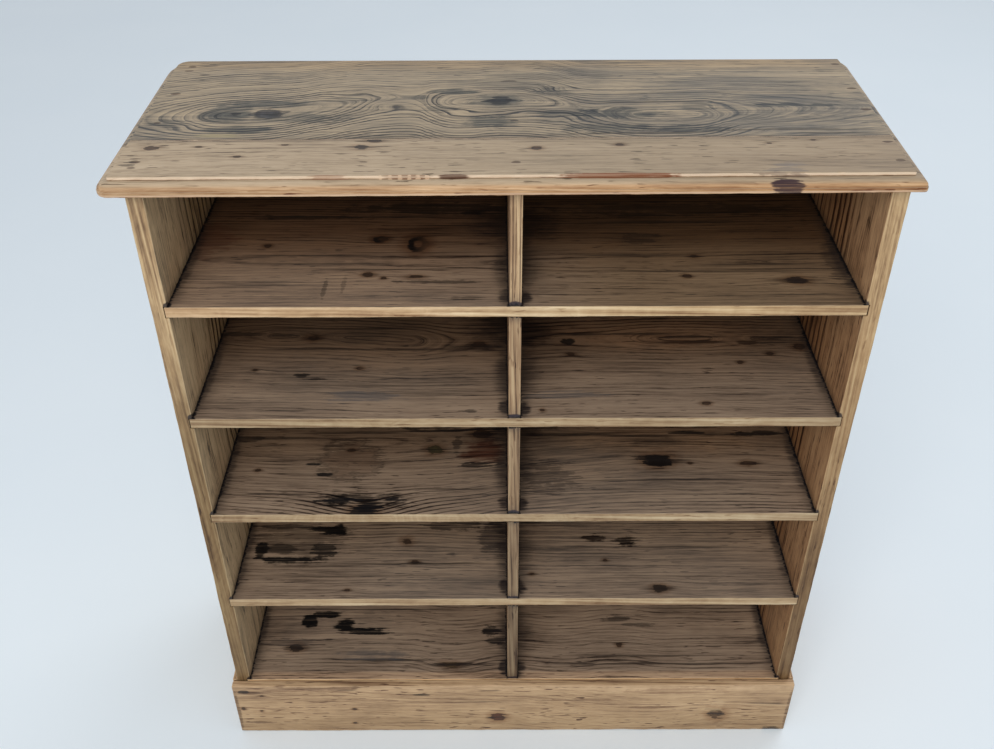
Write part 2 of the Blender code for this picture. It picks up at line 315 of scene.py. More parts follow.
@dataclass
class Bend:
    """A place where the rings bend: half its length and width, the rings lifted, how dark they are."""

    along: float
    across: float
    length: float
    width: float
    swirl: float
    force: float = 0.0


@dataclass
class Stain:
    """A ragged patch: its place, half its length and width, how strong it is and its colour.

    A hollow one is worn in its middle. A veil tints the wood under it and lets its grain show.
    """

    along: float
    across: float
    length: float
    width: float
    dark: float = 0.85
    ragged: float = 1.5
    tint: tuple = (34, 29, 27)
    hollow: float = 0.0
    soft: float = 0.0
    veil: float = 0.0


@dataclass
class Streak:
    """A dark line with the grain, from one place along to another."""

    start: float
    end: float
    across: float
    width: float = 0.0018
    dark: float = 0.75


@dataclass
class Blot:
    """A spot of black wax about a place in space, with half its size along X, Y and Z."""

    at_x: float
    at_y: float
    at_z: float
    size_x: float
    size_y: float
    size_z: float
    dark: float = 0.9
    tint: tuple = (30, 26, 32)


@dataclass
class Seam:
    """Dirt and dark wax against another board, which stands at a place on an axis."""

    axis: str
    at: float
    reach: float = 0.0022
    much: float = 1.0
    slope: float = 0.0
    everywhere: bool = False


@dataclass
class Band:
    """A stripe of its own colour round a moulded edge, between two heights; the one on the fillet is a
    painted highlight.
    """

    low: float
    high: float
    tint: tuple
    much: float


@dataclass
class Shade:
    """A change of tone from one place on an axis to another, of the whole board or its edges; some shades
    are painted light and shade.
    """

    axis: str
    start: float
    end: float
    tint: tuple
    much: float = 0.9
    edge: bool = False


@dataclass
class Tone:
    """Colours of a face, from its darkest grain lines to its palest wood, and its grey."""

    dark: tuple
    middle: tuple
    pale: tuple
    grey: tuple = (112, 106, 98)
    greyness: float = 0.35


@dataclass
class Pine:
    """How one board was sawn from its log, and what has happened to it since.

    Its axes are along the grain, across it, and through the face. Its heart and depth say where
    the middle of the log ran, along the board: how far across, and how far under the face.
    Late, lines and edge_lines say how much its dark rings and fibres show; strength, across the
    grain, and fade, along it, change the rings' part from place to place.
    Inner is the way (1 or -1) that its dirty, striped face looks, or 0 where both faces are alike.
    Spill is how much of its knots and stains shows on its edges.
    """

    axes: str
    face: float
    heart: tuple
    depth: tuple
    spacing: float
    tone: Tone
    edge: Tone
    seed: float
    knots: tuple = ()
    bends: tuple = ()
    stains: tuple = ()
    blots: tuple = ()
    bands: tuple = ()
    streaks: tuple = ()
    seams: tuple = ()
    shades: tuple = ()
    strength: tuple = ((0.0, 1.0),)
    fade: tuple = ((0.0, 1.0),)
    late: float = 1.0
    lines: float = 1.0
    edge_lines: float = 1.0
    rub: float = 1.0
    wander: float = 0.010
    speckle: float = 0.5
    shine: float = 0.25
    inner: int = 0
    spill: float = 1.0


def in_metres(*marks):
    """The same marks with their places and sizes, which are given in millimetres, in metres."""
    lengths = ("along", "across", "start", "end", "size", "length", "width")
    return tuple(
        replace(mark, **{name: value / 1000 for name, value in vars(mark).items() if name in lengths})
        for mark in marks
    )


def shown(colour):
    """A colour given as it shows on a screen, 0 to 255, in the light that it stands for."""
    return tuple(((part / 255 + 0.055) / 1.055) ** 2.4 for part in colour)


@node_group
def bend_group(g, u, v, along, across, length, width, swirl, force, lift, strength):
    """How far the rings are lifted about a place, in rings, and how much they are darkened."""
    du = (u - along) / length
    dv = (v - across) / width
    bell = ((du * du + dv * dv) * -1.0).apply("EXPONENT")
    return {"lift": bell * swirl + lift, "strength": bell * force + strength}


@node_group
def wood_group(g, u, v, w, heart, depth, spacing, wander, lift, strength, late, lines, edge_lines,
               speckle, seed):
    """The growth rings and fibres of a board, its dirt and its dents."""

    def stretched(along, across):
        return g.vector(u * along, v * across, w * across + seed)

    def ringed(along, across):
        return g.vector(u * along, rings * across, seed)

    bend, roll, patch = g.three_noises(stretched(1.6, 3.0), 1.0)
    wave, shift = g.three_noises(stretched(8.0, 24.0), 2.0)[:2]
    tear = g.noise(stretched(34.0, 60.0), 3.0, 0.65)
    ripple = g.noise(stretched(30.0, 150.0), 1.0)
    bent = v + (bend - 0.5) * (wander * 2.0) + (wave - 0.5) * 0.0070 + (ripple - 0.5) * 0.0022
    off = bent - heart
    deep = w + depth + (roll - 0.5) * wander
    radius = (off * off + deep * deep).apply("SQRT")
    steep = off.apply("ABSOLUTE") / radius
    rings = radius / spacing + lift + (shift - 0.5) * 0.6 + (tear - 0.5) * 0.22

    year = g.random(rings.apply("FLOOR") + seed * 3.7)
    phase = rings.apply("FRACT")
    dark_wood = phase.smooth(0.50, 0.90) * phase.smooth(0.93, 1.0, 1.0, 0.0) * (year * 1.2 + 0.1)
    dark_wood = dark_wood * (steep * 0.6 + 0.4)
    band = g.noise(ringed(1.8, 0.23), 2.0)
    streak = g.noise(ringed(4.0, 1.9), 4.0, 0.68)
    fibre = g.noise(ringed(38.0, 6.0), 3.0, 0.6)
    grime = g.noise(stretched(7.0, 15.0), 4.0, 0.62)
    fleck = g.noise(stretched(34.0, 270.0), 1.0)
    hair = g.noise(g.vector(u * 7.0, bent * 280.0, w * 280.0 + seed), 2.0, 0.7)
    side = g.noise(g.vector(u * 3.2, v * 90.0, w * 190.0 + seed + u * 4.0), 3.0, 0.6)

    specks = fleck.smooth(0.63, 0.70) * grime.smooth(0.42, 0.58) * speckle
    thread = streak.smooth(0.42, 0.34) * fibre.smooth(0.66, 0.42) * 0.35
    even = (band - 0.5) * 0.7 + (grime - 0.5) * 0.95 + (fibre - 0.5) * 0.8 - specks
    ragged = ((streak - 0.5) * 1.5 + (hair - 0.5) * 1.5 - thread) * lines
    face = even + ragged + 0.64 - dark_wood * late * strength
    edge = even * 0.7 + ((side - 0.5) * 3.2 + (hair - 0.5) * 0.7) * edge_lines + 0.60
    greying = patch.smooth(0.40, 0.66) * (1.4 - face).smooth(0.3, 1.2)
    height = fibre * 0.35 - dark_wood * 0.5 - specks * 1.2 + streak * 0.5
    return {
        "face": face, "edge": edge, "greying": greying, "height": height, "bent": bent,
        "hair": hair, "tear": tear, "streak": streak, "fibre": fibre, "grime": grime,
    }


@node_group
def knot_group(g, u, v, along, across, size, stretch, dark, halo, open, tail, tear, fibre, hair,
               colour, tint):
    """A knot, and the resin-stained wood round it."""
    du = (u - along) / stretch
    dv = v - across
    uneven = (tear - 0.5) * 1.5 + (fibre - 0.5) * 0.6 + (hair - 0.5) * 1.3
    apart = (du * du + dv * dv).apply("SQRT") / size + uneven * (1.0 - open * 0.55)
    colour = g.mix(apart.smooth(0.9, 2.2, halo * dark, 0.0), colour, (0.42, 0.26, 0.15), "MULTIPLY")
    crescent = apart.smooth(0.20, 0.50) * ((u - along) / size).smooth(-0.3, 1.0, 1.0, 0.1)
    body = apart.smooth(0.90, 1.06, dark, 0.0) * (1.0 - open + open * crescent)
    ringed = (apart * 13.0).apply("SINE") * 0.3 + apart.smooth(0.5, 1.0, 0.3, 1.0)
    colour = g.mix(body, colour, g.mix(ringed, tint, (0.012, 0.009, 0.008)))
    level = (dv + (tear - 0.5) * (size * 1.2)) / (size * 0.42)
    fade = (du.apply("ABSOLUTE") / size).smooth(0.8, tail, 1.0, 0.0)
    trail = ((level * level) * -1.0).apply("EXPONENT") * fade * hair.smooth(0.62, 0.42) * dark
    return {"colour": g.mix(trail * (1.0 - open), colour, (0.020, 0.014, 0.012))}


@node_group
def streak_group(g, u, start, end, bent, across, width, dark, streak, fibre, colour):
    """A dark line that follows the grain and fades out at both ends."""
    fade = (end - start) * 0.3
    inside = u.smooth(start, start + fade) * u.smooth(end - fade, end, 1.0, 0.0)
    apart = (bent - across + (streak - 0.5) * (width * 2.5)).apply("ABSOLUTE")
    mask = apart.smooth(width * 0.3, width, 1.0, 0.0) * inside * (fibre * 1.4 + 0.1) * dark
    return {"colour": g.mix(mask, colour, shown((42, 34, 30)))}


@node_group
def stain_group(g, u, v, along, across, length, width, dark, ragged, soft, hollow, veil, tear, streak,
                hair, colour, tint):
    """A patch with a ragged edge that runs out along the grain; a hollow one is worn in its middle."""
    du = (u - along) / length
    dv = (v - across) / width
    uneven = (tear - 0.5) * 1.6 + (0.5 - streak) * 1.5 + (0.5 - hair) * 1.0
    inside = 1.0 - (du * du + dv * dv) + uneven * ragged
    worn = inside.smooth(0.34, 0.66) * hollow
    mask = inside.smooth(0.05, soft + 0.50) * (1.75 - hair * 1.5) * dark * (1.0 - worn)
    tinted = g.mix(1.0, colour, tint, "MULTIPLY")
    return {"colour": g.mix(mask.apply("MINIMUM", 1.0), colour, g.mix(veil, tint, tinted))}


@node_group
def blot_group(g, x, y, z, at_x, at_y, at_z, size_x, size_y, size_z, dark, tear, hair, colour, tint):
    """A ragged spot about a place in space."""
    dx = (x - at_x) / size_x
    dy = (y - at_y) / size_y
    dz = (z - at_z) / size_z
    inside = 1.0 - (dx * dx + dy * dy + dz * dz) + (tear - 0.5) * 1.5 + (hair - 0.5) * 0.8
    return {"colour": g.mix(inside.smooth(0.1, 0.6) * dark, colour, tint)}


@node_group
def seam_group(g, apart, reach, much, grime, tear, hair, where, colour):
    """Dirt and dark wax at a line where two boards meet."""
    apart = apart.apply("ABSOLUTE")
    mask = where * much
    soft = apart.smooth(0.0, reach * 8.0, 0.5, 0.0) * (grime * 1.6)
    colour = g.mix(soft * mask, colour, (0.05, 0.036, 0.028))
    uneven = (tear - 0.5) * 2.0 + (hair - 0.5) * 5.0
    hard = (apart - uneven * reach).smooth(reach * 0.25, reach, 1.0, 0.0)
    return {"colour": g.mix(hard * mask, colour, (0.010, 0.009, 0.011))}


GROUPS = {Knot: knot_group, Streak: streak_group, Stain: stain_group, Blot: blot_group, Seam: seam_group}


def lay(g, colour, marks, surface):
    """Lay marks over a colour, each by the node group of its kind."""
    for mark in marks:
        own = {name: shown(value) if name == "tint" else value for name, value in vars(mark).items()}
        colour = g.call(GROUPS[type(mark)], **{**surface, **own, "colour": colour})["colour"]
    return colour


def pine_material(name, pine):
    """Old pine for one board."""
    material, g, shader = new_material(name)
    coordinates = g.node("TexCoord", {})
    place = dict(zip("xyz", g.split(g.wire(coordinates, "Object"))))
    normal = dict(zip("xyz", g.split(g.wire(coordinates, "Normal"))))
    u, v, w = (place[axis] for axis in pine.axes)
    through = pine.axes[2]
    steep = {axis: normal[axis].apply("ABSOLUTE") for axis in "xyz"}
    on_face = steep[through].smooth(0.55, 0.9)
    on_arris = steep["x"].apply("MAXIMUM", steep["y"]).apply("MAXIMUM", steep["z"]).smooth(0.99, 0.88)
    inside = on_face
    if pine.inner:
        inside = on_face * (normal[through] * float(pine.inner)).smooth(-0.1, 0.1)

    rings = {"lift": 0.0, "strength": (inside * 0.6 + 0.4) * g.path(v, pine.strength) * g.path(u, pine.fade)}
    for bend in pine.bends + tuple(knot.bent() for knot in pine.knots):
        rings = g.call(bend_group, u=u, v=v, **rings, **vars(bend))
    sawn = {"heart": g.path(u, pine.heart), "depth": g.path(u, pine.depth)}
    wood = g.call(wood_group, **{**vars(pine), **rings, **sawn, "u": u, "v": v, "w": w - pine.face})
    surface = {**wood, **place, "u": u, "v": v}

    colour = clean_colour(g, pine, surface, on_face, on_arris)
    marked = lay(g, colour, pine.knots + pine.streaks + pine.stains, surface)
    colour = g.mix(on_face * (1.0 - pine.spill) + pine.spill, colour, marked)
    colour = lay(g, colour, pine.blots, surface)
    for seam in pine.seams:
        apart = surface[seam.axis] - seam.at - u * seam.slope
        where = 1.0 if seam.everywhere else inside
        colour = lay(g, colour, (seam,), {**surface, "apart": apart, "where": where})

    g.feed(shader["Base Color"], colour)
    uneven = (0.5 - wood["streak"]) * 0.16 + (wood["grime"] - 0.5) * 0.22
    g.feed(shader["Roughness"], uneven + ROUGHNESS)
    g.feed(shader["Specular IOR Level"], pine.shine)
    bump = g.node("Bump", {"Height": wood["height"], "Distance": BUMP_DISTANCE, "Strength": 0.5})
    g.feed(shader["Normal"], g.wire(bump))
    return material


def clean_colour(g, pine, surface, on_face, on_arris):
    """The wood's colours, with its greying, shades, rubbed arrises and bands; some of the shades and bands
    are painted light and shade.
    """
    edge = tone_colour(g, surface["edge"], pine.edge)
    colour = g.mix(on_face, edge, tone_colour(g, surface["face"], pine.tone))
    greyness = on_face * (pine.tone.greyness - pine.edge.greyness) + pine.edge.greyness
    colour = g.mix(surface["greying"] * greyness, colour, shown(pine.tone.grey))
    off_face = 1.0 - on_face
    for shade in pine.shades:
        level = surface[shade.axis] + (surface["grime"] - 0.5) * (0.5 * abs(shade.end - shade.start))
        mask = level.smooth(shade.start, shade.end) * shade.much * (off_face if shade.edge else 1.0)
        colour = g.mix(mask, colour, tuple(part / 255 for part in shade.tint), "MULTIPLY")
    fibre = surface["fibre"]
    colour = g.mix(on_arris * (fibre * 0.9 + 0.1) * pine.rub, colour, shown(pine.edge.pale))
    for band in pine.bands:
        level = surface["z"] + (fibre - 0.5) * 0.0016
        mask = level.smooth(band.low, band.low + BAND_BLUR)
        mask = mask * level.smooth(band.high, band.high + BAND_BLUR, 1.0, 0.0)
        colour = g.mix(mask * off_face * (0.6 + fibre * 0.8) * band.much, colour, shown(band.tint))
    return colour


def tone_colour(g, shade, tone):
    return g.colours(shade, ((0.0, shown(tone.dark)), (0.55, shown(tone.middle)), (1.0, shown(tone.pale))))


def dimmed(tone, share):
    """The same tone with a share of its brightness."""
    parts = {name: getattr(tone, name) for name in ("dark", "middle", "pale")}
    return replace(tone, **{name: tuple(share * value for value in part) for name, part in parts.items()})


def iron_material(name):
    """Old iron: dark, with rust in patches."""
    material, g, shader = new_material(name)
    x, y, z = g.split(g.wire(g.node("TexCoord", {}), "Object"))
    rust = g.noise(g.vector(x * 900.0, y * 900.0, z * 900.0), 3.0)
    colour = g.mix(rust.smooth(0.42, 0.62), (0.018, 0.015, 0.014), (0.075, 0.034, 0.018))
    g.feed(shader["Base Color"], colour)
    g.feed(shader["Roughness"], rust.smooth(0.3, 0.7, 0.45, 0.85))
    g.feed(shader["Metallic"], 0.35)
    return material


def lines(low, high, step):
    """Where a board's side is divided: evenly, with closer lines beside both ends."""
    reach = [offset for offset in EDGE_LINES if offset < 0.3 * (high - low)]
    first, last = low + reach[-1], high - reach[-1]
    count = max(1, round((last - first) / step))
    middle = [first + (last - first) * number / count for number in range(1, count)]
    return [low + offset for offset in reach] + middle + [high - offset for offset in reversed(reach)]


def box_grid(*stops):
    """The surface of a box as one closed grid: its points, its faces, and each point's grid numbers."""
    numbers = {}
    faces = []
    for axis in range(3):
        down, over = (axis + 1) % 3, (axis + 2) % 3
        for end in (0, len(stops[axis]) - 1):
            for m in range(len(stops[down]) - 1):
                for n in range(len(stops[over]) - 1):
                    corners = [(m, n), (m + 1, n), (m + 1, n + 1), (m, n + 1)]
                    if end == 0:
                        corners.reverse()
                    face = []
                    for i, j in corners:
                        index = [0, 0, 0]
                        index[axis], index[down], index[over] = end, i, j
                        face.append(numbers.setdefault(tuple(index), len(numbers)))
                    faces.append(face)
    index = np.array(list(numbers))
    points = np.stack([np.array(stops[axis])[index[:, axis]] for axis in range(3)], axis=1)
    return points, faces, index


def smooth_noise(points, scale, seed):
    """One value of smooth noise, about -1 to 1, for each point."""
    return np.array([noise.noise(Vector(point)) for point in points * scale + seed])


def wear(points, low, high, amount, seed):
    """Ease a board's arrises, unevenly, and draw its faces in a little here and there."""
    low, high = np.array(low), np.array(high)
    rough = smooth_noise(points, 26.0, seed) + 0.6 * smooth_noise(points, 95.0, seed + 5.0)
    radius = amount * np.clip(1.0 + 0.75 * rough, 0.3, 2.6)
    radius = np.minimum(radius, 0.3 * (high - low).min())[:, None]
    inner = np.clip(points, low + radius, high - radius)
    out = points - inner
    length = np.linalg.norm(out, axis=1)[:, None]
    rounded = inner + out * radius / np.maximum(length, 1e-9)
    sag = 0.35 * amount * (1.0 + smooth_noise(points, 7.0, seed + 11.0))
    half = (high - low) / 2
    share = (rounded - (low + high) / 2) / half
    return rounded - share * np.minimum(sag[:, None], 0.04 * half)


def new_object(name, data):
    made = bpy.data.objects.new(name, data)
    bpy.context.scene.collection.objects.link(made)
    return made


def new_piece(node, points, faces, material, slot):
    """A piece that takes the place of a node of the frame."""
    mesh = bpy.data.meshes.new("worn_" + node)
    mesh.from_pydata([tuple(point) for point in points], [], faces)
    mesh.materials.append(material)
    piece = new_object("worn_" + node, mesh)
    finish_shading(piece)
    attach(piece, "root")
    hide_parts(node)
    return piece


def finish_shading(piece):
    piece.data.shade_smooth()
    piece.data.set_sharp_from_angle(angle=SMOOTH_ANGLE)


def worn_board(node, slot, pine, amount, seed):
    """A worn board in the place of a plain one, of its own pine."""
    low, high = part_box(node)
    spans = [b - a for a, b in zip(low, high)]
    steps = [GRID_STEP if span == max(spans) else FACE_STEP for span in spans]
    points, faces, index = box_grid(*(lines(a, b, step) for a, b, step in zip(low, high, steps)))
    material = pine_material("pine_" + node, pine)
    return new_piece(node, wear(points, low, high, amount, seed), faces, material, slot)


def cut(piece, *cutters):
    """Cut closed meshes out of a piece. The parts of one cutter stand apart."""
    holders = []
    for cutter in cutters:
        if cutter.verts:
            mesh = bpy.data.meshes.new("cutter")
            cutter.to_mesh(mesh)
            holders.append(new_object("cutter", mesh))
            boolean = piece.modifiers.new("cut", "BOOLEAN")
            boolean.operation = "DIFFERENCE"
            boolean.solver = "EXACT"
            boolean.object = holders[-1]
        cutter.free()
    built = piece.evaluated_get(bpy.context.evaluated_depsgraph_get())
    mesh = bpy.data.meshes.new_from_object(built)
    piece.modifiers.clear()
    piece.data = mesh
    for holder in holders:
        bpy.data.objects.remove(holder)
    finish_shading(piece)


def add_box(cutter, low, high):
    points, faces, index = box_grid(*zip(low, high))
    corners = [cutter.verts.new(point) for point in points]
    for face in faces:
        cutter.faces.new([corners[number] for number in face])


def add_cylinder(cutter, low, high):
    """A cylinder round a nail, along its longest side, that stands out of the wood."""
    spans = high - low
    axis = max(range(3), key=lambda number: spans[number])
    radius = spans[(axis + 1) % 3] / 2 + NAIL_HOLE_SLACK
    turn = Matrix.Rotation(math.radians(90) if axis == 1 else 0.0, 4, "X")
    bmesh.ops.create_cone(
        cutter, cap_ends=True, segments=20, radius1=radius, radius2=radius, depth=spans[axis] + CUT_PAST,
        matrix=Matrix.Translation((low + high) / 2) @ turn,
    )


def nails(start):
    """The boxes of the nails whose names start so."""
    return [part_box(name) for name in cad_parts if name.startswith(start)]


def nail_holes(start, piece):
    """A cutter for the nails, of those whose names start so, that go into a piece."""
    points = np.array([vertex.co for vertex in piece.data.vertices])
    holes = bmesh.new()
    for low, high in nails(start):
        if all(a < m < b for a, m, b in zip(points.min(0), (low + high) / 2, points.max(0))):
            add_cylinder(holes, low, high)
    return holes


def add_camera():
    camera = new_object("camera", bpy.data.cameras.new("camera"))
    camera.data.lens = CAMERA_LENS
    camera.data.sensor_width = SENSOR_WIDTH
    turn = (
        Matrix.Rotation(-CAMERA_YAW, 4, "Z")
        @ Matrix.Rotation(math.radians(90) - CAMERA_PITCH, 4, "X")
        @ Matrix.Rotation(CAMERA_ROLL, 4, "Z")
    )
    camera.matrix_world = Matrix.Translation(CAMERA_PLACE) @ turn
    bpy.context.scene.camera = camera


def add_lamp(name, place, size, power, colour):
    light = bpy.data.lights.new(name, "AREA")
    light.shape = "RECTANGLE"
    light.size, light.size_y = size
    light.energy = power
    light.color = colour
    lamp = new_object(name, light)
    lamp.location = place
    lamp.rotation_euler = (Vector(LAMP_TARGET) - Vector(place)).to_track_quat("-Z", "Y").to_euler()


def add_world():
    """Even light from all round, and a paler background where the camera sees it."""
    world = bpy.data.worlds.new("studio")
    bpy.context.scene.world = world
    world.use_nodes = True
    g = Graph(world.node_tree)
    path = g.node("LightPath", {})
    seen = g.wire(path, "Is Camera Ray")
    for kind in ("Is Glossy Ray", "Is Transmission Ray"):
        seen = seen.apply("MAXIMUM", g.wire(path, kind))
    background = world.node_tree.nodes["Background"].inputs
    g.feed(background["Color"], WORLD_COLOUR)
    g.feed(background["Strength"], g.wire(g.node("Mix", {0: seen, 2: WORLD_LIGHT, 3: WORLD_SEEN})))


def add_floor():
    """A wide pale floor that meets the background far away."""
    bpy.ops.mesh.primitive_circle_add(vertices=96, radius=FLOOR_RADIUS, fill_type="NGON")
    floor = bpy.context.object
    floor.name = "floor"
    material, g, shader = new_material("floor")
    x, y, z = g.split(g.wire(g.node("TexCoord", {}), "Object"))
    mottle = g.noise(g.vector(x * 2.0, y * 2.0, z), 3.0)
    g.feed(shader["Base Color"], g.mix(mottle, *FLOOR_COLOURS))
    g.feed(shader["Roughness"], 0.8)
    floor.data.materials.append(material)
    floor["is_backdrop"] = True


def top_profile():
    """The moulding from the underside up, in rows.

    Each row holds inset, rise, then what one unit of the lower and of the upper arris adds to both.
    """

    def row(inset, rise, lower=(0.0, 0.0), upper=(0.0, 0.0)):
        return (inset, rise, *lower, *upper)

    low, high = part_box("top_front_board")
    thickness = high.z - low.z
    rise = thickness - MOULDING_LAND - MOULDING_FILLET
    run = MOULDING_REACH - MOULDING_STEP - MOULDING_QUIRK
    near = 1.0 - math.sqrt(0.5)
    rows = [row(0.0, 0.0, lower=share) for share in ((1.0, 0.0), (near, near), (0.0, 1.0))]
    rows.append(row(0.0, MOULDING_LAND - MOULDING_STEP))
    rows.append(row(near * MOULDING_STEP, MOULDING_LAND - near * MOULDING_STEP))
    for step in range(OVOLO_STEPS + 1):
        angle = math.radians(90) * step / OVOLO_STEPS
        inset = MOULDING_STEP + run * (1 - math.cos(angle))
        rows.append(row(inset, MOULDING_LAND + rise * math.sin(angle)))
    rows.append(row(MOULDING_REACH, MOULDING_LAND + rise))
    for share in ((0.0, -1.0), (near, -near), (1.0, 0.0)):
        rows.append(row(MOULDING_REACH, thickness, upper=share))
    return np.array(rows)


def top_stops(low, high):
    """Where a top board is divided along X: closer at its rounded corners, with no arris between."""
    left, right = low + LEFT_CORNER_REACH, high - RIGHT_CORNER_REACH
    ends = lines(low, left, CORNER_STEP)[:-3], lines(right, high, CORNER_STEP)[3:]
    return ends[0] + lines(left, right, GRID_STEP)[3:-3] + ends[1]


def moulded_top(node, pine, seed, chips):
    """One of the two top boards. The front one is moulded on its front and both ends."""
    low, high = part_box(node)
    profile = top_profile()
    points, faces, index = box_grid(
        top_stops(low.x, high.x), lines(low.y, high.y, TOP_DEPTH_STEP), list(range(len(profile))),
    )
    flat = points * (1, 1, 0)
    rough = smooth_noise(flat, 30.0, seed) + 0.7 * smooth_noise(flat, 90.0, seed)
    upper = UPPER_ARRIS * np.clip(1.0 + 0.8 * rough, 0.35, 2.4)
    lower = LOWER_ARRIS * np.clip(1.0 + 0.6 * rough, 0.35, 2.0)
    for place in chips:
        upper = np.maximum(upper, CHIP_DEPTH * np.exp(-((points[:, 0] - place) / CHIP_WIDTH) ** 2))
    rows = profile[index[:, 2]].T
    inset = rows[0] + rows[2] * lower + rows[4] * upper
    rise = rows[1] + rows[3] * lower + rows[5] * upper
    ease = rows[2] * LOWER_EASE + rows[4] * UPPER_EASE
    across = (points[:, 0] - low.x) / (high.x - low.x)
    down = (points[:, 1] - low.y) / (high.y - low.y)
    x = low.x + inset + across * (high.x - low.x - 2 * inset)
    left, right = low.x + inset, high.x - inset
    if node == "top_front_board":
        front = low.y + inset
        y = front + down * (high.y - TOP_SKEW - ease - front)
        x, y = round_corner(x, y, left, front, 1, 1, TOP_CORNER_LEFT - inset)
        x, y = round_corner(x, y, right, front, -1, 1, TOP_CORNER_RIGHT - inset)
        y = y + TOP_SKEW * (x - low.x) / (high.x - low.x)
    else:
        back = high.y - ease
        y = low.y + ease + down * (high.y - low.y - 2 * ease)
        y = y + TOP_SKEW * (x - low.x) / (high.x - low.x) * (1 - down)
        x, y = round_corner(x, y, left, back, 1, -1, BACK_CORNER_LEFT + MOULDING_REACH - inset)
        x, y = round_corner(x, y, right, back, -1, -1, BACK_CORNER_RIGHT + MOULDING_REACH - inset)
    worn = np.stack([x, y, low.z + rise], axis=1)
    material = pine_material("pine_" + node.removesuffix("_board"), pine)
    piece = new_piece(node, worn, faces, material, "pine_top")
    cut(piece, nail_holes("nail_top", piece))


def round_corner(x, y, corner_x, corner_y, side, depth, radius):
    """Round a corner of a plan, taking the points inside it along.

    The board lies to the side (1 or -1) of the corner along X, and to its depth along Y.
    """
    radius = np.maximum(radius, 0.001)
    dx = np.maximum(radius - side * (x - corner_x), 0.0)
    dy = np.maximum(radius - depth * (y - corner_y), 0.0)
    longest = np.maximum(dx, dy)
    length = np.maximum(np.hypot(dx, dy), 1e-9)
    inward = np.where((dx > 0) & (dy > 0), 1 - longest / length, 0.0)
    return x + side * dx * inward, y + depth * dy * inward


TOP_FACE = Tone((54, 52, 51), (144, 130, 110), (176, 157, 130), grey=(92, 92, 90), greyness=0.40)
TOP_SMOOTH = Tone((98, 84, 68), (172, 152, 127), (192, 172, 146), grey=(146, 136, 116), greyness=0.3)
TOP_EDGE = Tone((108, 66, 40), (170, 131, 94), (212, 178, 140), greyness=0.05)
SHELF_FACE = Tone((50, 37, 31), (142, 121, 102), (166, 144, 122), grey=(118, 110, 102), greyness=0.4)
SHELF_EDGE = Tone((112, 76, 46), (184, 154, 116), (218, 194, 156), greyness=0.05)
DIVIDER_EDGE = Tone((72, 45, 29), (174, 140, 105), (208, 178, 138), greyness=0.05)
SIDE_FACE = Tone((88, 58, 36), (188, 151, 114), (206, 174, 138), grey=(158, 142, 120), greyness=0.3)
LEFT_SIDE_FACE = Tone((62, 42, 26), (196, 166, 128), (216, 190, 150), grey=(160, 150, 130), greyness=0.3)
RIGHT_SIDE_FACE = Tone((64, 38, 22), (184, 142, 104), (206, 166, 124), grey=(150, 128, 106), greyness=0.3)
SIDE_EDGE = Tone((92, 60, 36), (182, 150, 110), (216, 190, 148), greyness=0.1)
PLINTH_FACE = Tone((92, 60, 40), (180, 147, 110), (204, 172, 134), greyness=0.1)
BACK_FACE = Tone((58, 40, 28), (136, 110, 82), (158, 132, 102), greyness=0.4)
BLOCK_FACE = Tone((92, 62, 36), (170, 132, 88), (192, 156, 110), greyness=0.2)

SHELVES = ("shelf_1", "shelf_2", "shelf_3", "shelf_4", "bottom_shelf")
# How bright each shelf's front edge is
SHELF_FRONTS = (1.02, 0.88, 0.89, 0.94, 0.98)

# Colours of marks
GREY_EDDY = (146, 158, 172)
WAX = (26, 22, 27)
SOOT = (16, 14, 14)
DARK_WAX = (18, 16, 16)
INK = (20, 19, 22)
GREY_WAX = (92, 94, 98)
BROWN_GREY = (64, 56, 50)
OLIVE_GREY = (56, 50, 44)
UMBER = (58, 42, 32)
RESIN = (96, 66, 48)
DARK_RESIN = (76, 50, 36)
EDGE_DIRT = (70, 46, 34)
CHIPPED = (218, 190, 160)


def eddy(along, across, length, width, dark, ragged, soft=0.3):
    """A grey eddy, through which the grain shows."""
    return Stain(along, across, length, width, dark, ragged, GREY_EDDY, soft=soft, veil=1.0)


def back_seam():
    """The line where a board's back edge meets the back boards."""
    return Seam("y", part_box("back_board_1")[0].y, 0.0030, 0.9)


def shelf_seams():
    """Where a shelf meets the sides, the back and the dividers that stand on it."""
    left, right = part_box("side_left")[1].x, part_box("side_right")[0].x
    low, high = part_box("divider_1")
    sides = tuple(Seam("x", x, 0.0032) for x in (left, right))
    return sides + tuple(Seam("x", x, 0.0026, 0.95) for x in (low.x, high.x)) + (back_seam(),)


def shelf_stains():
    """Black wax at the front beside the divider, and soft dark patches along the divider and the sides
    further back.
    """
    low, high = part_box("divider_1")
    left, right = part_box("side_left")[1].x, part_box("side_right")[0].x
    return (
        Stain(low.x - 0.002, -0.150, 0.016, 0.022, 0.85, 1.0, WAX, soft=0.3),
        Stain(high.x + 0.002, -0.154, 0.016, 0.020, 0.85, 1.0, WAX, soft=0.3),
        Stain(low.x, -0.070, 0.030, 0.080, 0.55, 0.8, WAX, soft=0.5),
        Stain(high.x, -0.060, 0.040, 0.080, 0.50, 0.8, WAX, soft=0.5),
        Stain(low.x, 0.050, 0.090, 0.080, 0.55, 0.8, WAX, soft=0.5),
        Stain(high.x, 0.060, 0.080, 0.080, 0.45, 0.8, WAX, soft=0.5),
        Stain(left, -0.050, 0.016, 0.120, 0.60, 0.8, WAX, soft=0.4),
        Stain(right, -0.050, 0.018, 0.120, 0.60, 0.8, WAX, soft=0.4),
    )


def shelf_shade(far):
    """Painted light and shade from a shelf's front to its back: the far tint darkens the back of the upper
    shelves and lightens the back of the lower ones.
    """
    return Shade("y", -0.12, 0.04, far, 1.0)


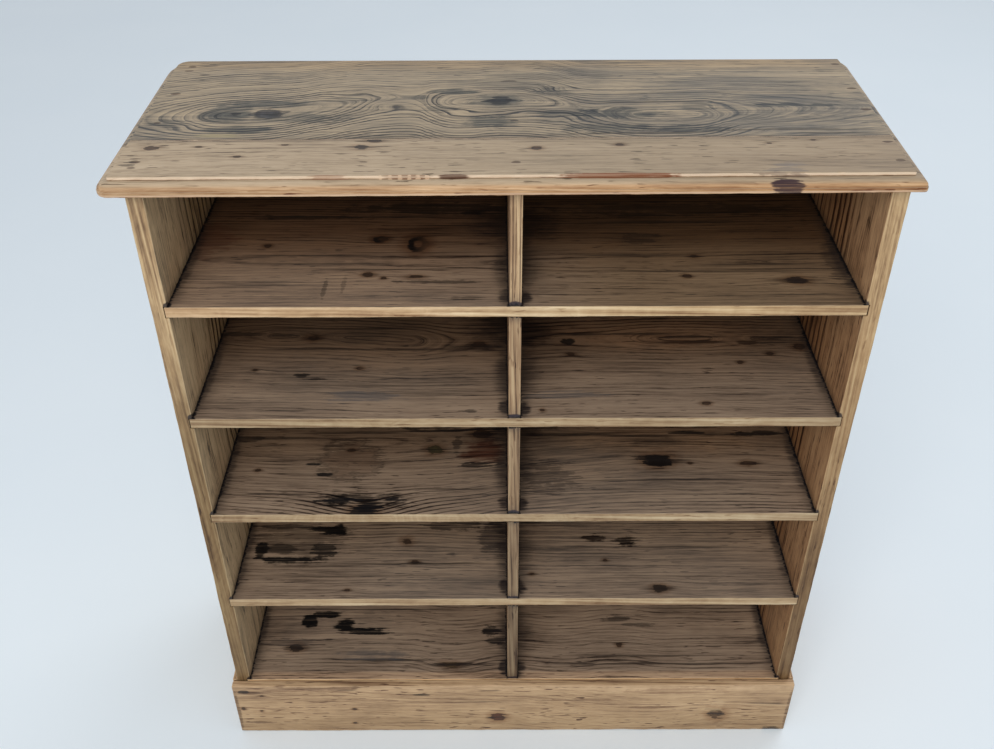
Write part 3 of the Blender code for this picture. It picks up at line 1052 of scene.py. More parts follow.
def first_shelf():
    """The highest shelf, with a crescent of a knot and paler, smoother wood on the left."""
    knots = in_metres(
        Knot(-195, 9, 9, swirl=0.8, tint=(30, 22, 18), open=0.5, dark=1.0),
        Knot(-137, -6, 24, 0.68, swirl=0.8, open=1.0, tint=(20, 14, 12), dark=1.0),
        Knot(-203, -92, 6.2, 1.3, swirl=0.7), Knot(-180, -102, 3.4, 1.4), Knot(-135, -98, 4.6, 2.4),
        Knot(-360, -10, 4.6, 1.3), Knot(404, -111, 9.5, 1.7, swirl=1.2, tint=(40, 34, 36), tail=3.6),
        Knot(251, -99, 4.4, 1.3), Knot(269, -44, 5, 1.3),
    )
    stains = in_metres(
        Stain(-465, 8, 60, 60, 0.35, 1.6, (96, 48, 34)), Stain(-100, -112, 60, 6, 0.6, 2.5),
        Stain(-60, -155, 26, 5, 0.6, 2.0), Stain(-261, -133, 4, 30, 0.45, 2.0),
        Stain(-235, -118, 4, 24, 0.35, 2.0), Stain(194, 10, 30, 18, 0.65, 2.4, hollow=0.5),
        Stain(480, -62, 30, 70, 0.5, 1.6), Stain(-120, 105, 160, 20, 0.7, 2.4),
        Stain(-330, 78, 100, 8, 0.6, 2.4), Stain(250, 100, 220, 24, 0.5, 2.4),
    )
    streaks = in_metres(
        Streak(-460, -50, 79, 4.6, 0.9), Streak(-440, -180, -38, 2.2, 0.7),
        Streak(-280, -10, -30, 2.2, 0.7), Streak(-400, -150, -62, 2.4, 0.6),
        Streak(-300, -20, -78, 2.6, 0.8), Streak(50, 420, 60, 4, 0.8), Streak(100, 470, -85, 3, 0.7),
        Streak(60, 300, -40, 3, 0.7), Streak(240, 470, -66, 3, 0.8),
    )
    return dict(
        heart=((-0.5, -0.05), (-0.2, -0.052), (0.1, -0.06), (0.5, -0.056)),
        depth=((-0.5, 0.036), (-0.37, 0.026), (-0.1, 0.022), (0.1, 0.015), (0.29, 0.008), (0.5, 0.002)),
        strength=((-0.18, 0.25), (-0.1, 0.35), (-0.07, 0.6), (-0.03, 0.6), (0.02, 0.4), (0.08, 0.9),
                  (0.2, 0.6)),
        spacing=0.0075, knots=knots, stains=stains, streaks=streaks,
        shades=(
            shelf_shade((150, 116, 92)), Shade("x", 0.05, -0.2, (300, 278, 262), 0.7),
            Shade("x", -0.05, 0.2, (214, 196, 162)),
            Shade("x", 0.05, -0.2, (219, 217, 224), 0.7, edge=True),
            Shade("x", -0.05, 0.2, (292, 308, 347), edge=True),
        ),
    )


def second_shelf():
    """Flat-sawn towards the back, where wide dark arches show."""
    knots = in_metres(
        Knot(-318, 32, 8, 1.3, swirl=0.8), Knot(-50, 14, 8, 1.3, swirl=0.8),
        Knot(-235, -51, 4.4, 1.4, open=0.6), Knot(-398, -55, 3, 1.4), Knot(98, -15, 4.4, 1.5),
        Knot(415, -14, 5, 1.3), Knot(363, -38, 4, 1.3), Knot(293, -142, 4.6, 1.6), Knot(47, -157, 3.4, 1.4),
        Knot(467, 5, 8.5, 1.3, swirl=0.8),
    )
    stains = in_metres(
        Stain(-322, -68, 14, 7, 0.9, 1.6), Stain(-300, -78, 24, 4, 0.8, 1.6),
        Stain(-220, -123, 70, 18, 0.4, 2.4, GREY_WAX, soft=0.3), Stain(-60, -159, 14, 5, 0.7, 2.2),
        Stain(93, 20, 14, 10, 0.95, 1.6), Stain(298, 18, 52, 6, 0.85, 1.2, UMBER),
        Stain(384, 16, 22, 6, 0.85, 1.2, UMBER),
        # Painted light: a pale veil that lightens the shelf towards the back on the right.
        Stain(250, 50, 250, 70, 0.8, 0.8, (330, 318, 305), soft=0.6, veil=1.0),
        Stain(-440, 44, 50, 6, 0.6, 2.0), Stain(80, -120, 60, 10, 0.35, 2.4, GREY_WAX),
    )
    streaks = in_metres(
        Streak(-460, -20, 0, 4, 0.9), Streak(-440, -120, 58, 4.4, 0.9), Streak(-120, 20, 6, 5, 0.9),
        Streak(20, 300, 40, 4.4, 0.9), Streak(220, 370, 30, 4, 0.95), Streak(220, 370, 16, 4, 0.95),
        Streak(380, 470, 30, 4, 0.95), Streak(380, 470, 14, 4, 0.95), Streak(50, 400, -40, 2.6, 0.6),
        Streak(-400, -100, -95, 2.4, 0.5), Streak(-300, -20, -115, 2.6, 0.6),
    )
    return dict(
        heart=((-0.5, 0.04), (-0.27, 0.032), (-0.05, 0.02), (0.15, 0.027), (0.5, 0.021)),
        depth=((-0.5, 0.026), (-0.4, 0.012), (-0.36, 0.002), (-0.31, 0.01), (-0.25, 0.004), (-0.17, 0.006),
               (-0.12, 0.022), (-0.05, 0.032), (0.15, 0.026), (0.24, 0.01), (0.3, 0.004), (0.36, 0.014),
               (0.4, 0.006), (0.5, 0.002)),
        strength=((-0.18, 0.2), (-0.04, 0.25), (0.0, 0.7), (0.03, 1.1), (0.06, 1.0), (0.2, 0.6)),
        spacing=0.0085, knots=knots, stains=stains, streaks=streaks, shades=(shelf_shade((190, 160, 134)),),
    )


def third_shelf():
    """A black knot at the front, with rings bent round it, and the outline of an old stain."""
    knots = in_metres(
        Knot(-231, -168, 11, 1.8, swirl=-3.6, reach=3.8, bend=2.0, tint=INK, dark=0.9, tail=1.6, force=2.2),
        Knot(-126, -21, 11.5, 1.2, tint=(74, 72, 44), swirl=1.0), Knot(-46, 20, 11, 1.3, swirl=0.8),
        Knot(-417, -71, 4, 1.3), Knot(-267, -21, 4.2, 1.6),
        Knot(248, -49, 16.5, 1.5, swirl=1.2, tint=(20, 15, 13), dark=1.0), Knot(400, -57, 6.5, 2.0),
        Knot(302, -57, 3, 1.4),
    )
    stains = in_metres(
        Stain(-264, -48, 56, 50, 0.4, 1.0, (140, 112, 96), soft=0.2, veil=1.0),
        Stain(-264, -48, 66, 58, 0.75, 1.3, (44, 34, 28), hollow=1.0), Stain(-326, -56, 20, 5, 0.95, 2.0),
        Stain(-304, -82, 14, 5, 0.9, 2.0),
        Stain(-231, -142, 95, 24, 0.9, 2.0, (70, 68, 72), soft=0.5, veil=1.0),
        Stain(-274, -144, 40, 6, 0.85, 2.4, INK), Stain(-190, -142, 34, 6, 0.8, 2.4, INK),
        Stain(-231, -162, 30, 11, 0.9, 1.8, (16, 15, 18)),
        Stain(-41, -26, 50, 40, 0.85, 1.0, (150, 100, 90), soft=0.3, veil=1.0),
        Stain(-46, -59, 45, 7, 0.85, 2.0), Stain(-88, -8, 9, 24, 0.65, 2.2),
        Stain(-446, 10, 30, 10, 0.6, 2.2), Stain(253, 0, 50, 18, 0.45, 1.4, soft=0.4),
        # Painted light: a pale veil that lightens the shelf towards the back on the right.
        Stain(260, 10, 230, 60, 0.6, 0.8, (310, 300, 286), soft=0.6, veil=1.0),
        Stain(308, 22, 34, 6, 0.85, 1.6), Stain(238, -44, 36, 10, 0.95, 1.8),
        Stain(-110, 34, 100, 8, 0.8, 2.0), Stain(430, 20, 50, 9, 0.9, 1.6),
        Stain(60, -90, 60, 40, 0.45, 2.0, WAX),
    )
    streaks = in_metres(
        Streak(-470, -300, 12, 4, 0.9), Streak(-400, -150, 27, 4, 0.9), Streak(-20, 220, 18, 6, 1.0),
        Streak(140, 300, 12, 5, 0.95), Streak(300, 460, 16, 3.4, 0.9), Streak(50, 470, -100, 2.8, 0.6),
        Streak(100, 400, -122, 2.6, 0.6), Streak(-460, -300, -130, 2.8, 0.8),
        Streak(-180, -20, -118, 2.8, 0.8), Streak(-450, -360, -8, 2.6, 0.7),
    )
    return dict(
        heart=((-0.5, 0.02), (-0.2, 0.0), (0.0, 0.02), (0.25, 0.04), (0.5, 0.034)),
        depth=((-0.5, 0.03), (-0.228, 0.02), (0.0, 0.024), (0.25, 0.014), (0.5, 0.02)),
        strength=((-0.18, 0.8), (-0.13, 0.6), (-0.1, 0.3), (-0.04, 0.3), (0.0, 0.5), (0.2, 0.8)),
        spacing=0.0080, knots=knots, stains=stains, streaks=streaks, shades=(shelf_shade((222, 196, 170)),),
    )


def fourth_shelf():
    """Plain wood with black blots on the left."""
    knots = in_metres(
        Knot(-181, -41, 8.5, 1.3, swirl=0.8), Knot(-165, -92, 4.2, 1.7), Knot(-277, -156, 3.6, 1.6),
        Knot(257, -154, 8.5, 1.6, tint=(26, 20, 17), swirl=0.8), Knot(39, -121, 3.6, 1.6),
        Knot(169, -89, 4.2, 1.3),
    )
    stains = in_metres(
        Stain(-375, -45, 90, 60, 0.45, 1.6, (48, 38, 32)), Stain(-390, -86, 66, 9, 1.0, 1.4, SOOT),
        Stain(-440, -62, 13, 26, 1.0, 1.2, SOOT), Stain(-405, -60, 30, 14, 0.6, 1.8, (30, 24, 20)),
        Stain(-326, -64, 24, 24, 0.95, 1.8, SOOT, hollow=0.3), Stain(-318, -12, 46, 13, 1.0, 1.6, SOOT),
        Stain(-400, -4, 50, 6, 0.7, 1.8), Stain(151, -34, 22, 12, 0.9, 1.6, (40, 28, 22)),
        Stain(211, -43, 30, 14, 0.95, 1.6, (30, 22, 18)), Stain(-20, -30, 40, 50, 0.6, 1.4, WAX),
        Stain(-100, 0, 60, 16, 0.6, 2.0),
    )
    streaks = in_metres(
        Streak(-300, -10, -97, 4, 0.95), Streak(-440, -240, -100, 2.6, 0.6), Streak(30, 460, -58, 2.6, 0.6),
        Streak(-460, -50, -125, 2.4, 0.5), Streak(100, 440, -130, 2.4, 0.5),
    )
    return dict(
        heart=((-0.5, 0.07), (0.5, 0.055)),
        depth=((-0.5, 0.02), (-0.2, 0.03), (0.1, 0.016), (0.5, 0.024)),
        strength=((-0.18, 0.3), (-0.06, 0.4), (0.0, 0.6), (0.2, 0.8)),
        spacing=0.0075, knots=knots, stains=stains, streaks=streaks, shades=(shelf_shade((350, 332, 304)),),
    )


def bottom_shelf():
    """Black blots on the left, dark rings near the front, and a paler front strip."""
    knots = in_metres(
        Knot(-396, -105, 8.5, 1.5, tint=(34, 25, 21), swirl=0.8), Knot(206, -101, 4.4, 1.4),
        Knot(-108, -146, 8, 1.8, tint=(92, 72, 48), swirl=0.8),
    )
    stains = in_metres(
        Stain(-379, -42, 17, 20, 1.0, 1.4, DARK_WAX), Stain(-348, -26, 34, 10, 1.0, 1.6, DARK_WAX),
        Stain(-312, -52, 24, 18, 1.0, 1.6, DARK_WAX), Stain(-265, -66, 46, 11, 1.0, 1.8, DARK_WAX),
        Stain(-32, -66, 18, 18, 0.9, 1.8), Stain(-24, -90, 22, 10, 0.9, 1.8),
        Stain(-248, -123, 80, 14, 0.5, 1.8, (78, 78, 80), soft=0.3),
        Stain(-420, -90, 50, 12, 0.4, 2.2, (70, 62, 58)), Stain(204, -39, 30, 10, 0.6, 1.8),
        Stain(247, -51, 40, 6, 0.55, 1.8),
    )
    streaks = in_metres(
        Streak(-300, -120, -136, 3.4, 0.95), Streak(-160, -20, -146, 3.6, 0.95),
        Streak(30, 470, -146, 3.4, 0.85), Streak(80, 400, -128, 2.6, 0.7), Streak(-460, -50, -12, 3, 0.7),
    )
    return dict(
        heart=((-0.5, -0.2), (-0.2, -0.194), (-0.1, -0.206), (0.0, -0.196), (0.1, -0.204), (0.2, -0.196),
               (0.3, -0.206), (0.5, -0.2)),
        depth=((-0.5, 0.016), (0.5, 0.022)),
        strength=((-0.18, 0.3), (-0.16, 0.6), (-0.145, 1.2), (-0.13, 1.1), (-0.11, 0.4), (0.0, 0.3),
                  (0.2, 0.6)),
        spacing=0.0080, knots=knots, stains=stains, streaks=streaks,
        shades=(shelf_shade((345, 334, 320)), Shade("y", -0.156, -0.165, (400, 368, 330))),
    )


def make_shelves():
    """The shelves, from the highest down."""
    woods = (first_shelf(), second_shelf(), third_shelf(), fourth_shelf(), bottom_shelf())
    for number, (node, wood) in enumerate(zip(SHELVES, woods)):
        wood["stains"] += shelf_stains()
        pine = Pine(
            axes="xyz", face=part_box(node)[1].z, tone=SHELF_FACE, seams=shelf_seams(), wander=0.007,
            edge=dimmed(SHELF_EDGE, SHELF_FRONTS[number]), seed=3.1 * number + 1.0, late=0.65, lines=0.85,
            rub=0.5, edge_lines=0.6, spill=0.12, **wood,
        )
        worn_board(node, "pine_shelf", pine, SHELF_WEAR, 7.0 * number)


def side_seams():
    """Dark wax in the corners over and under each shelf, under the top, and at the back."""
    seams = [back_seam()]
    for node in SHELVES:
        low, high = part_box(node)
        seams += [Seam("z", high.z, 0.0024), Seam("z", low.z, 0.0016, 0.8)]
    return tuple(seams)


def shelf_end_blots(hand, x):
    """Black wax where the end of each shelf shows in the front edge of a side."""
    blots = []
    for node in SHELVES:
        low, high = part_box(node)
        blots += [
            Blot(x, low.y, high.z + 0.001, 0.007, 0.012, 0.008),
            Blot(x - hand * 0.004, low.y, low.z - 0.003, 0.005, 0.010, 0.006, 0.8),
            Blot(x - hand * 0.009, low.y, (low.z + high.z) / 2, 0.0025, 0.010, 0.012, 0.7),
        ]
    return tuple(blots)


def side_pine(hand, face):
    """The wood of a side. Its inner face is striped behind a plain grey strip at the front."""
    if hand < 0:
        own = dict(
            tone=LEFT_SIDE_FACE, seed=19.0, edge_lines=0.7, wander=0.020,
            heart=((0.0, -0.15), (0.3, -0.13), (0.6, -0.162), (0.9, -0.14), (1.12, -0.16)),
            depth=((0.0, 0.034), (0.4, 0.022), (0.8, 0.04), (1.12, 0.026)),
            strength=((-0.18, 0.9), (-0.165, 0.2), (-0.05, 0.25), (-0.02, 1.2), (0.11, 1.2), (0.15, 0.4),
                      (0.2, 0.4)),
            shades=(
                Shade("y", -0.05, 0.02, (250, 240, 206), 0.8),
                # The front edge is darker towards the bottom: painted shade in part, darker wood in part.
                Shade("z", 0.98, 0.62, (114, 104, 87), 1.0, edge=True),
            ),
        )
    else:
        own = dict(
            tone=RIGHT_SIDE_FACE, seed=23.0, edge_lines=0.5, wander=0.016,
            heart=((0.0, -0.12), (0.5, -0.135), (1.12, -0.118)),
            depth=((0.0, 0.05), (0.6, 0.03), (1.12, 0.05)),
            strength=((-0.18, 0.6), (-0.165, 0.2), (-0.07, 0.35), (-0.03, 1.2), (0.12, 1.2), (0.17, 0.5),
                      (0.2, 0.4)),
            shades=(
                Shade("y", -0.09, 0.00, (240, 204, 170)),
                # The front edge is darker towards the bottom: painted shade in part, darker wood in part.
                Shade("z", 0.90, 0.30, (112, 102, 90), 1.0, edge=True),
                Shade("z", 0.95, 0.85, (214, 200, 186)),
            ),
        )
    return Pine(
        axes="zyx", face=face, inner=-hand, spacing=0.0200, edge=SIDE_EDGE, seams=side_seams(), late=1.3,
        rub=0.5, blots=shelf_end_blots(hand, face), **own,
    )


def side_cutters(hand, low, high):
    """What is cut out of a side: a housing for each shelf, and the rebate for the back boards."""

    def span(board_low, board_high):
        if hand < 0:
            return board_low.x - HOUSING_GAP, high.x + CUT_PAST
        return low.x - CUT_PAST, board_high.x + HOUSING_GAP

    housings, rebate = bmesh.new(), bmesh.new()
    for shelf in SHELVES:
        shelf_low, shelf_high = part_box(shelf)
        start, end = span(shelf_low, shelf_high)
        add_box(housings, (start, low.y - CUT_PAST, shelf_low.z - HOUSING_GAP),
                (end, high.y + CUT_PAST, shelf_high.z + HOUSING_SLACK))
    back_low, back_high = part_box("back_board_1" if hand < 0 else "back_board_8")
    start, end = span(back_low, back_high)
    add_box(rebate, (start, back_low.y - HOUSING_GAP, low.z - CUT_PAST),
            (end, high.y + CUT_PAST, high.z + CUT_PAST))
    return housings, rebate


def make_sides():
    for hand, node in ((-1, "side_left"), (1, "side_right")):
        low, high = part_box(node)
        pine = side_pine(hand, high.x if hand < 0 else low.x)
        cut(worn_board(node, "pine_side", pine, SIDE_WEAR, 40.0 + hand), *side_cutters(hand, low, high))


def divider_blots(number, low, high):
    """A block of purple-black wax at a divider's foot, and on the first one, lines up its edge."""
    foot = Blot((low.x + high.x) / 2, low.y, low.z, 0.014, 0.010, 0.009, 0.95, (44, 34, 46))
    if number > 1:
        return (foot,)
    height = (low.z + high.z) / 2
    up_the_edge = ((0.0008, 0.12, 0.7), (0.0052, 0.10, 0.8), (0.0090, 0.075, 0.6), (0.0150, 0.13, 0.7))
    return (foot,) + tuple(
        Blot(low.x + across, low.y, height, 0.0011, 0.006, half, dark, (74, 50, 36))
        for across, half, dark in up_the_edge
    )


def make_dividers():
    for number in range(1, 6):
        node = f"divider_{number}"
        low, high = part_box(node)
        pine = Pine(
            axes="zyx", face=low.x,
            heart=((low.z, low.y + 0.002), (high.z, low.y + 0.001 * number)),
            depth=((low.z, 0.060), (high.z, 0.0615)),
            spacing=0.0042, tone=SIDE_FACE, edge=dimmed(DIVIDER_EDGE, 1.04 - 0.075 * number),
            seed=31.0 + 7.3 * number, wander=0.003, rub=0.3, blots=divider_blots(number, low, high),
            seams=(
                Seam("z", low.z, 0.0036, everywhere=True), Seam("z", high.z, 0.0018, everywhere=True),
                back_seam(),
            ),
            stains=(Stain(low.z + 0.001, -0.160, 0.007, 0.040, 0.95, 0.8, WAX),),
            shades=(Shade("y", -0.12, 0.05, (206, 186, 160)),),
        )
        worn_board(node, "pine_divider", pine, DIVIDER_WEAR, 60.0 + number)


def plinth_pine(node):
    low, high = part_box(node)
    both = dict(tone=PLINTH_FACE, edge=PLINTH_FACE, speckle=0.9)
    if node != "plinth_front":
        face = low.x if node == "plinth_left" else high.x
        return Pine(
            axes="yzx", face=face, heart=((0.0, 0.20),), depth=((0.0, 0.05),), spacing=0.0085,
            seed=51.0 + face, late=0.3, lines=0.7, **both,
        )
    knots = in_metres(
        Knot(382, 51, 15, 1.0, swirl=2.0, reach=2.6, bend=2.4, tint=(112, 82, 54), dark=0.9, tail=1.2),
        Knot(-22, 42, 10.5, 1.5, swirl=1.2, tint=(84, 38, 24), tail=1.6), Knot(-283, 67, 2.8, 1.8),
        Knot(-286, 25, 2.6, 1.6), Knot(-487, 68, 4, 1.2), Knot(-455, 62, 2.4, 1.6),
        Knot(-449, 106, 2.4, 1.6),
    )
    stains = in_metres(
        Stain(380, 80, 16, 16, 0.35, 1.6, (210, 180, 142), soft=0.5),
        Stain(372, 62, 22, 10, 0.5, 1.2, (206, 176, 136), soft=0.4), Stain(490, 4, 20, 8, 0.7, 1.8),
        Stain(-497, 60, 5, 75, 0.6, 1.0, EDGE_DIRT, soft=0.4),
        Stain(512, 60, 5, 75, 0.5, 1.0, EDGE_DIRT, soft=0.4), Stain(-470, 114, 24, 4, 0.7, 1.4, DARK_RESIN),
        Stain(-460, 28, 30, 4, 0.6, 1.4, DARK_RESIN), Stain(-330, 127, 80, 5, 0.5, 1.6, RESIN),
        Stain(120, 92, 80, 4, 0.5, 1.6, RESIN), Stain(260, 70, 60, 4, 0.5, 1.6, RESIN),
        Stain(-158, 108, 16, 3, 0.8, 1.2), Stain(-481, 117, 10, 6, 0.7, 1.6),
        Stain(300, 118, 100, 10, 0.25, 2.4, (120, 84, 60)),
    )
    streaks = in_metres(
        Streak(420, 520, 81, 2, 0.9), Streak(-100, 0, 87, 1.8, 0.7), Streak(-60, -10, 119, 2, 0.8),
        Streak(-320, -270, 123, 1.8, 0.8),
    )
    return Pine(
        axes="xzy", face=low.y, heart=((-0.5, 0.17), (0.0, 0.15), (0.3, 0.12), (0.5, 0.13)),
        depth=((-0.5, 0.04), (0.5, 0.03)), spacing=0.0100, seed=50.0, late=0.12, lines=0.55, rub=0.6,
        seams=(Seam("z", high.z, 0.0016, 0.35),), knots=knots, stains=stains, streaks=streaks,
        # Painted light and shade: a highlight along the top arris, and the front darker towards the floor.
        shades=(
            Shade("z", 0.112, 0.126, (290, 290, 296), 0.8), Shade("z", 0.085, 0.020, (214, 214, 208)),
        ), **both,
    )


def make_plinth():
    for number, node in enumerate(("plinth_front", "plinth_left", "plinth_right")):
        piece = worn_board(node, "pine_plinth", plinth_pine(node), PLINTH_WEAR, 80.0 + number)
        cut(piece, nail_holes("nail_plinth", piece))


def rust_marks(board):
    """A rusty ring in the wood round each nail of a top board."""
    low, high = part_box(board)
    middles = [(nail_low + nail_high) / 2 for nail_low, nail_high in nails("nail_top")]
    return tuple(
        Stain(x, y, 0.0075, 0.0042, 0.75, 1.2, (70, 50, 38)) for x, y, z in middles if low.y < y < high.y
    )


def chip_marks():
    """Pale bare wood in the chips of the moulding on the left."""
    return in_metres(*(
        Stain(1000 * place, -187.3, 2.6 + 0.7 * (number * 2 % 3), 2.6, 0.65, 2.0, CHIPPED)
        for number, place in enumerate(CHIPS[:6])
    ))


def top_joint():
    """The dark joint between the top boards, which runs a little askew."""
    low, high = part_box("top_front_board")
    slope = TOP_SKEW / (high.x - low.x)
    return Seam("y", high.y - TOP_SKEW - low.x * slope, 0.0014, 0.9, slope)


def moulding_bands():
    """The moulding's lines, from its foot up: a pale arris, the dark quirk, and a painted highlight on the
    fillet.
    """
    low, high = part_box("top_front_board")
    quirk = high.z - MOULDING_FILLET
    return (
        Band(low.z + 0.0010, low.z + 0.0032, (216, 184, 154), 0.6),
        Band(quirk - 0.0012, quirk + 0.0004, (88, 60, 42), 0.8),
        # A painted highlight on the front-facing fillet.
        Band(quirk + 0.0006, high.z, (226, 204, 178), 0.85),
    )


def top_pine(node, stains, **own):
    """The wood of a top board, with what both boards share."""
    return Pine(
        axes="xyz", face=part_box(node)[1].z, edge=TOP_EDGE, rub=0.3, edge_lines=0.7, shine=0.18,
        seams=(top_joint(),), bands=moulding_bands(), stains=rust_marks(node) + stains, **own,
    )


def front_top_pine():
    knots = in_metres(
        Knot(-470, -105, 5.6, 1.7, halo=0.3), Knot(-194, -104, 8, 1.5, halo=0.3, tint=(52, 46, 44)),
        Knot(-182, -85, 5.2, 2.0, halo=0.3, tint=(52, 46, 44)), Knot(-353, -132, 3.4, 1.8, halo=0.3),
        Knot(-297, -97, 3, 1.8, halo=0.3), Knot(-409, -102, 2.6, 1.8, halo=0.3),
        Knot(33, -109, 5, 1.4, halo=0.5), Knot(142, -100, 4.2, 1.6, halo=0.5),
        Knot(338, -96, 2.6, 2.0, halo=0.3), Knot(398, -87, 2.4, 2.0, halo=0.3),
    )
    stains = in_metres(
        Stain(-490, -156, 14, 4, 0.75, 1.6, OLIVE_GREY), Stain(-488, -146, 8, 3, 0.6, 1.6, OLIVE_GREY),
        Stain(347, -174, 30, 8, 0.45, 1.6, (96, 92, 92)), Stain(343, -196, 23, 9, 0.95, 1.3, (58, 40, 42)),
        Stain(340, -184, 36, 4, 0.5, 2.0, (96, 76, 66)),
        Stain(352, -160, 24, 10, 0.45, 1.4, (110, 104, 102), soft=0.3),
        Stain(130, -184.5, 80, 3.2, 0.85, 1.2, (128, 80, 54)),
        Stain(-230, -187.5, 30, 2.4, 0.5, 1.2, (134, 84, 56)),
        Stain(-72, -186.2, 22, 2.6, 0.85, 1.0, (84, 54, 40)),
        Stain(-134, -187, 36, 2.8, 0.6, 1.0, (124, 86, 62)),
    )
    return top_pine(
        "top_front_board", stains + chip_marks(), knots=knots, tone=TOP_SMOOTH, seed=70.0, spacing=0.0100,
        late=0.25, lines=0.6, speckle=0.9,
        heart=((-0.52, -0.46), (0.0, -0.44), (0.52, -0.45)), depth=((-0.52, 0.12), (0.52, 0.14)),
        strength=((-0.21, 0.8), (-0.185, 0.45), (-0.08, 0.4)),
        # Painted shade and light: the top is darker to the right, where the fill lamp's sheen falls; the
        # moulding is darkened on the left, where the key lamp falls, and lightened on the right.
        shades=(
            Shade("x", -0.35, 0.40, (184, 179, 172)), Shade("x", -0.35, 0.40, (370, 372, 366), edge=True),
            Shade("x", -0.10, -0.45, (205, 203, 200), edge=True),
        ),
    )


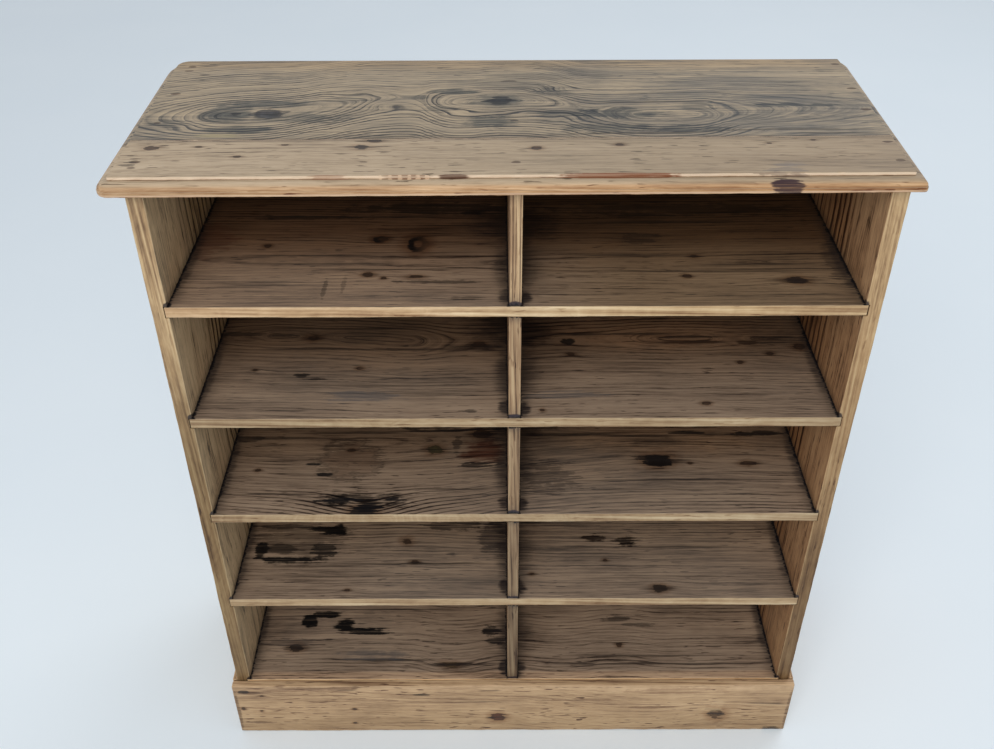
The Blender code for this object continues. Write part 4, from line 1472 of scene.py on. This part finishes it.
def back_top_pine():
    """Two dark knots and an arch lie on the heart of the log, with grey eddies round them."""
    bends = in_metres(
        Bend(-229, 66, 30, 16, 1.6), Bend(-172, 33, 34, 14, 1.6), Bend(-450, -36, 30, 12, 1.2),
        Bend(-67, 15, 32, 14, 2.0, 0.5), Bend(27, 14, 36, 16, 1.6, 0.4), Bend(67, 82, 30, 14, 2.2, 0.4),
        Bend(77, -3, 40, 16, 1.2, 0.2), Bend(278, 15, 30, 16, 1.4, 0.5), Bend(335, -46, 60, 16, 1.4),
        Bend(240, -50, 60, 20, 0.0, 0.7), Bend(240, 42, 50, 16, 0.0, 0.5), Bend(-336, 60, 90, 30, 0.0, 0.6),
        Bend(-330, -55, 90, 30, 0.0, 0.6),
    )
    knots = in_metres(
        Knot(-336, 5, 18.5, 1.0, swirl=0.0, tint=(66, 68, 74), halo=0.0, tail=1.05),
        Knot(-380, 4, 5, 1.4, swirl=0.0, tint=(60, 56, 56), halo=0.0, dark=0.7, tail=1.5),
        Knot(-14, 48, 17, 1.0, swirl=0.0, tint=(58, 62, 68), halo=0.0, tail=1.05),
    )
    stains = in_metres(
        eddy(-395, 6, 48, 38, 0.95, 0.8), eddy(20, 120, 170, 45, 0.35, 1.0, 0.5),
        eddy(-335, 38, 80, 16, 0.85, 1.1), eddy(-365, -48, 60, 16, 0.9, 1.1),
        eddy(-290, -10, 90, 24, 0.7, 1.3, 0.4), eddy(-470, -24, 35, 16, 0.65, 1.4),
        eddy(-235, 50, 40, 16, 0.45, 1.4, 0.4), eddy(-143, 60, 40, 9, 0.6, 1.4),
        eddy(-78, 80, 50, 13, 1.0, 1.2), eddy(-30, -26, 46, 28, 1.0, 1.2),
        eddy(-14, 48, 56, 34, 0.85, 1.0, 0.5), eddy(-100, 20, 30, 14, 0.55, 1.4),
        eddy(62, 78, 36, 14, 0.65, 1.4), eddy(74, 2, 44, 14, 0.6, 1.4), eddy(150, 2, 80, 22, 0.9, 1.5),
        eddy(130, -48, 80, 20, 0.8, 1.5), eddy(262, 26, 36, 24, 0.5, 1.2, 0.5),
        eddy(241, -50, 70, 14, 0.8, 1.6), eddy(376, 29, 40, 8, 0.9, 1.6), eddy(440, 28, 24, 8, 0.85, 1.6),
        eddy(329, -12, 26, 14, 0.4, 1.4, 0.5), eddy(472, 159, 22, 8, 0.5, 1.6),
        eddy(-343, 135, 36, 8, 0.6, 1.6), Stain(-389, -67, 45, 7, 0.5, 1.0, (160, 148, 108), soft=0.4),
        Stain(-454, 148, 8, 3, 0.7, 1.6, BROWN_GREY), Stain(1, 120, 16, 4, 0.7, 1.4, BROWN_GREY),
        Stain(5, -20, 7, 3, 0.8, 1.0, BROWN_GREY),
    )
    streaks = in_metres(
        Streak(50, 300, -62, 3, 0.9), Streak(240, 515, -56, 3, 0.9), Streak(360, 515, -68, 2.4, 0.8),
        Streak(90, 300, 38, 2.6, 0.8), Streak(-300, 200, -66, 2.2, 0.6), Streak(-450, -100, -56, 2.2, 0.5),
        Streak(100, 500, 70, 2.2, 0.5),
    )
    return top_pine(
        "top_back_board", stains, knots=knots, bends=bends, streaks=streaks, tone=TOP_FACE, seed=75.0,
        spacing=0.0072, late=0.9, lines=0.9, shades=(Shade("y", 0.150, 0.195, (250, 226, 196), 0.8),),
        heart=((-0.52, -0.012), (-0.42, 0.0), (-0.336, 0.008), (-0.25, 0.036), (-0.143, 0.056),
               (-0.07, 0.04), (-0.014, 0.046), (0.06, 0.034), (0.13, 0.004), (0.22, -0.002), (0.3, 0.006),
               (0.52, 0.02)),
        depth=((-0.52, 0.07), (-0.46, 0.046), (-0.41, 0.02), (-0.38, 0.01), (-0.336, 0.004), (-0.29, 0.01),
               (-0.25, 0.02), (-0.21, 0.036), (-0.17, 0.052), (-0.14, 0.056), (-0.115, 0.044),
               (-0.09, 0.026), (-0.067, 0.014), (-0.014, 0.004), (0.027, 0.01), (0.06, 0.022), (0.1, 0.032),
               (0.15, 0.022), (0.2, 0.012), (0.25, 0.012), (0.29, 0.03), (0.34, 0.048), (0.52, 0.075)),
        strength=((-0.09, 1.15), (0.06, 1.0), (0.1, 0.45), (0.2, 0.3)),
        fade=((-0.52, 0.9), (0.05, 1.0), (0.25, 1.0), (0.31, 0.4), (0.37, 0.18), (0.52, 0.15)),
    )


def make_top():
    moulded_top("top_front_board", front_top_pine(), 90.0, CHIPS)
    moulded_top("top_back_board", back_top_pine(), 91.0, ())


def back_pine(low, high):
    """A back board, of its own shade, with dark joints and with dirt where the shelves meet it."""
    seams = [Seam("z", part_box(shelf)[1].z, 0.0026) for shelf in SHELVES]
    seams += [Seam("x", x, 0.0018, 0.9, everywhere=True) for x in (low.x, high.x)]
    return Pine(
        axes="zxy", face=low.y, inner=-1, heart=((0.0, low.x - 0.03), (1.1, low.x + 0.02)),
        depth=((0.0, 0.040), (1.1, 0.025)), spacing=0.0080, edge=BACK_FACE, seed=100.0 + low.x * 10.0,
        tone=dimmed(BACK_FACE, 1.0 + 0.09 * math.sin(40.0 * low.x)), late=0.8, seams=tuple(seams),
    )


def block_pine(low, high):
    return Pine(
        axes="xyz", face=high.z, heart=((0.0, low.y - 0.03),), depth=((0.0, 0.040),), spacing=0.0060,
        tone=BLOCK_FACE, edge=BLOCK_FACE, seed=140.0 + low.x,
    )


def dress_frame():
    """The boards and nails whose shape in the frame is right as it is."""
    iron = iron_material("nail_iron")
    for name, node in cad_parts.items():
        if name.startswith("nail_"):
            set_material(node, iron, "iron_nail")
        if name.startswith("back_board"):
            set_material(node, pine_material("pine_" + name, back_pine(*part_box(name))), "pine_back")
        if name.startswith("glue_block"):
            set_material(node, pine_material("pine_" + name, block_pine(*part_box(name))), "pine_block")


def set_material(node, material, slot):
    node.data.materials.clear()
    node.data.materials.append(material)


bpy.context.scene.view_settings.view_transform = "Standard"
add_camera()
add_world()
for lamp in LAMPS:
    add_lamp(*lamp)
add_floor()
make_top()
make_sides()
make_shelves()
make_dividers()
make_plinth()
dress_frame()

low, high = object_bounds()
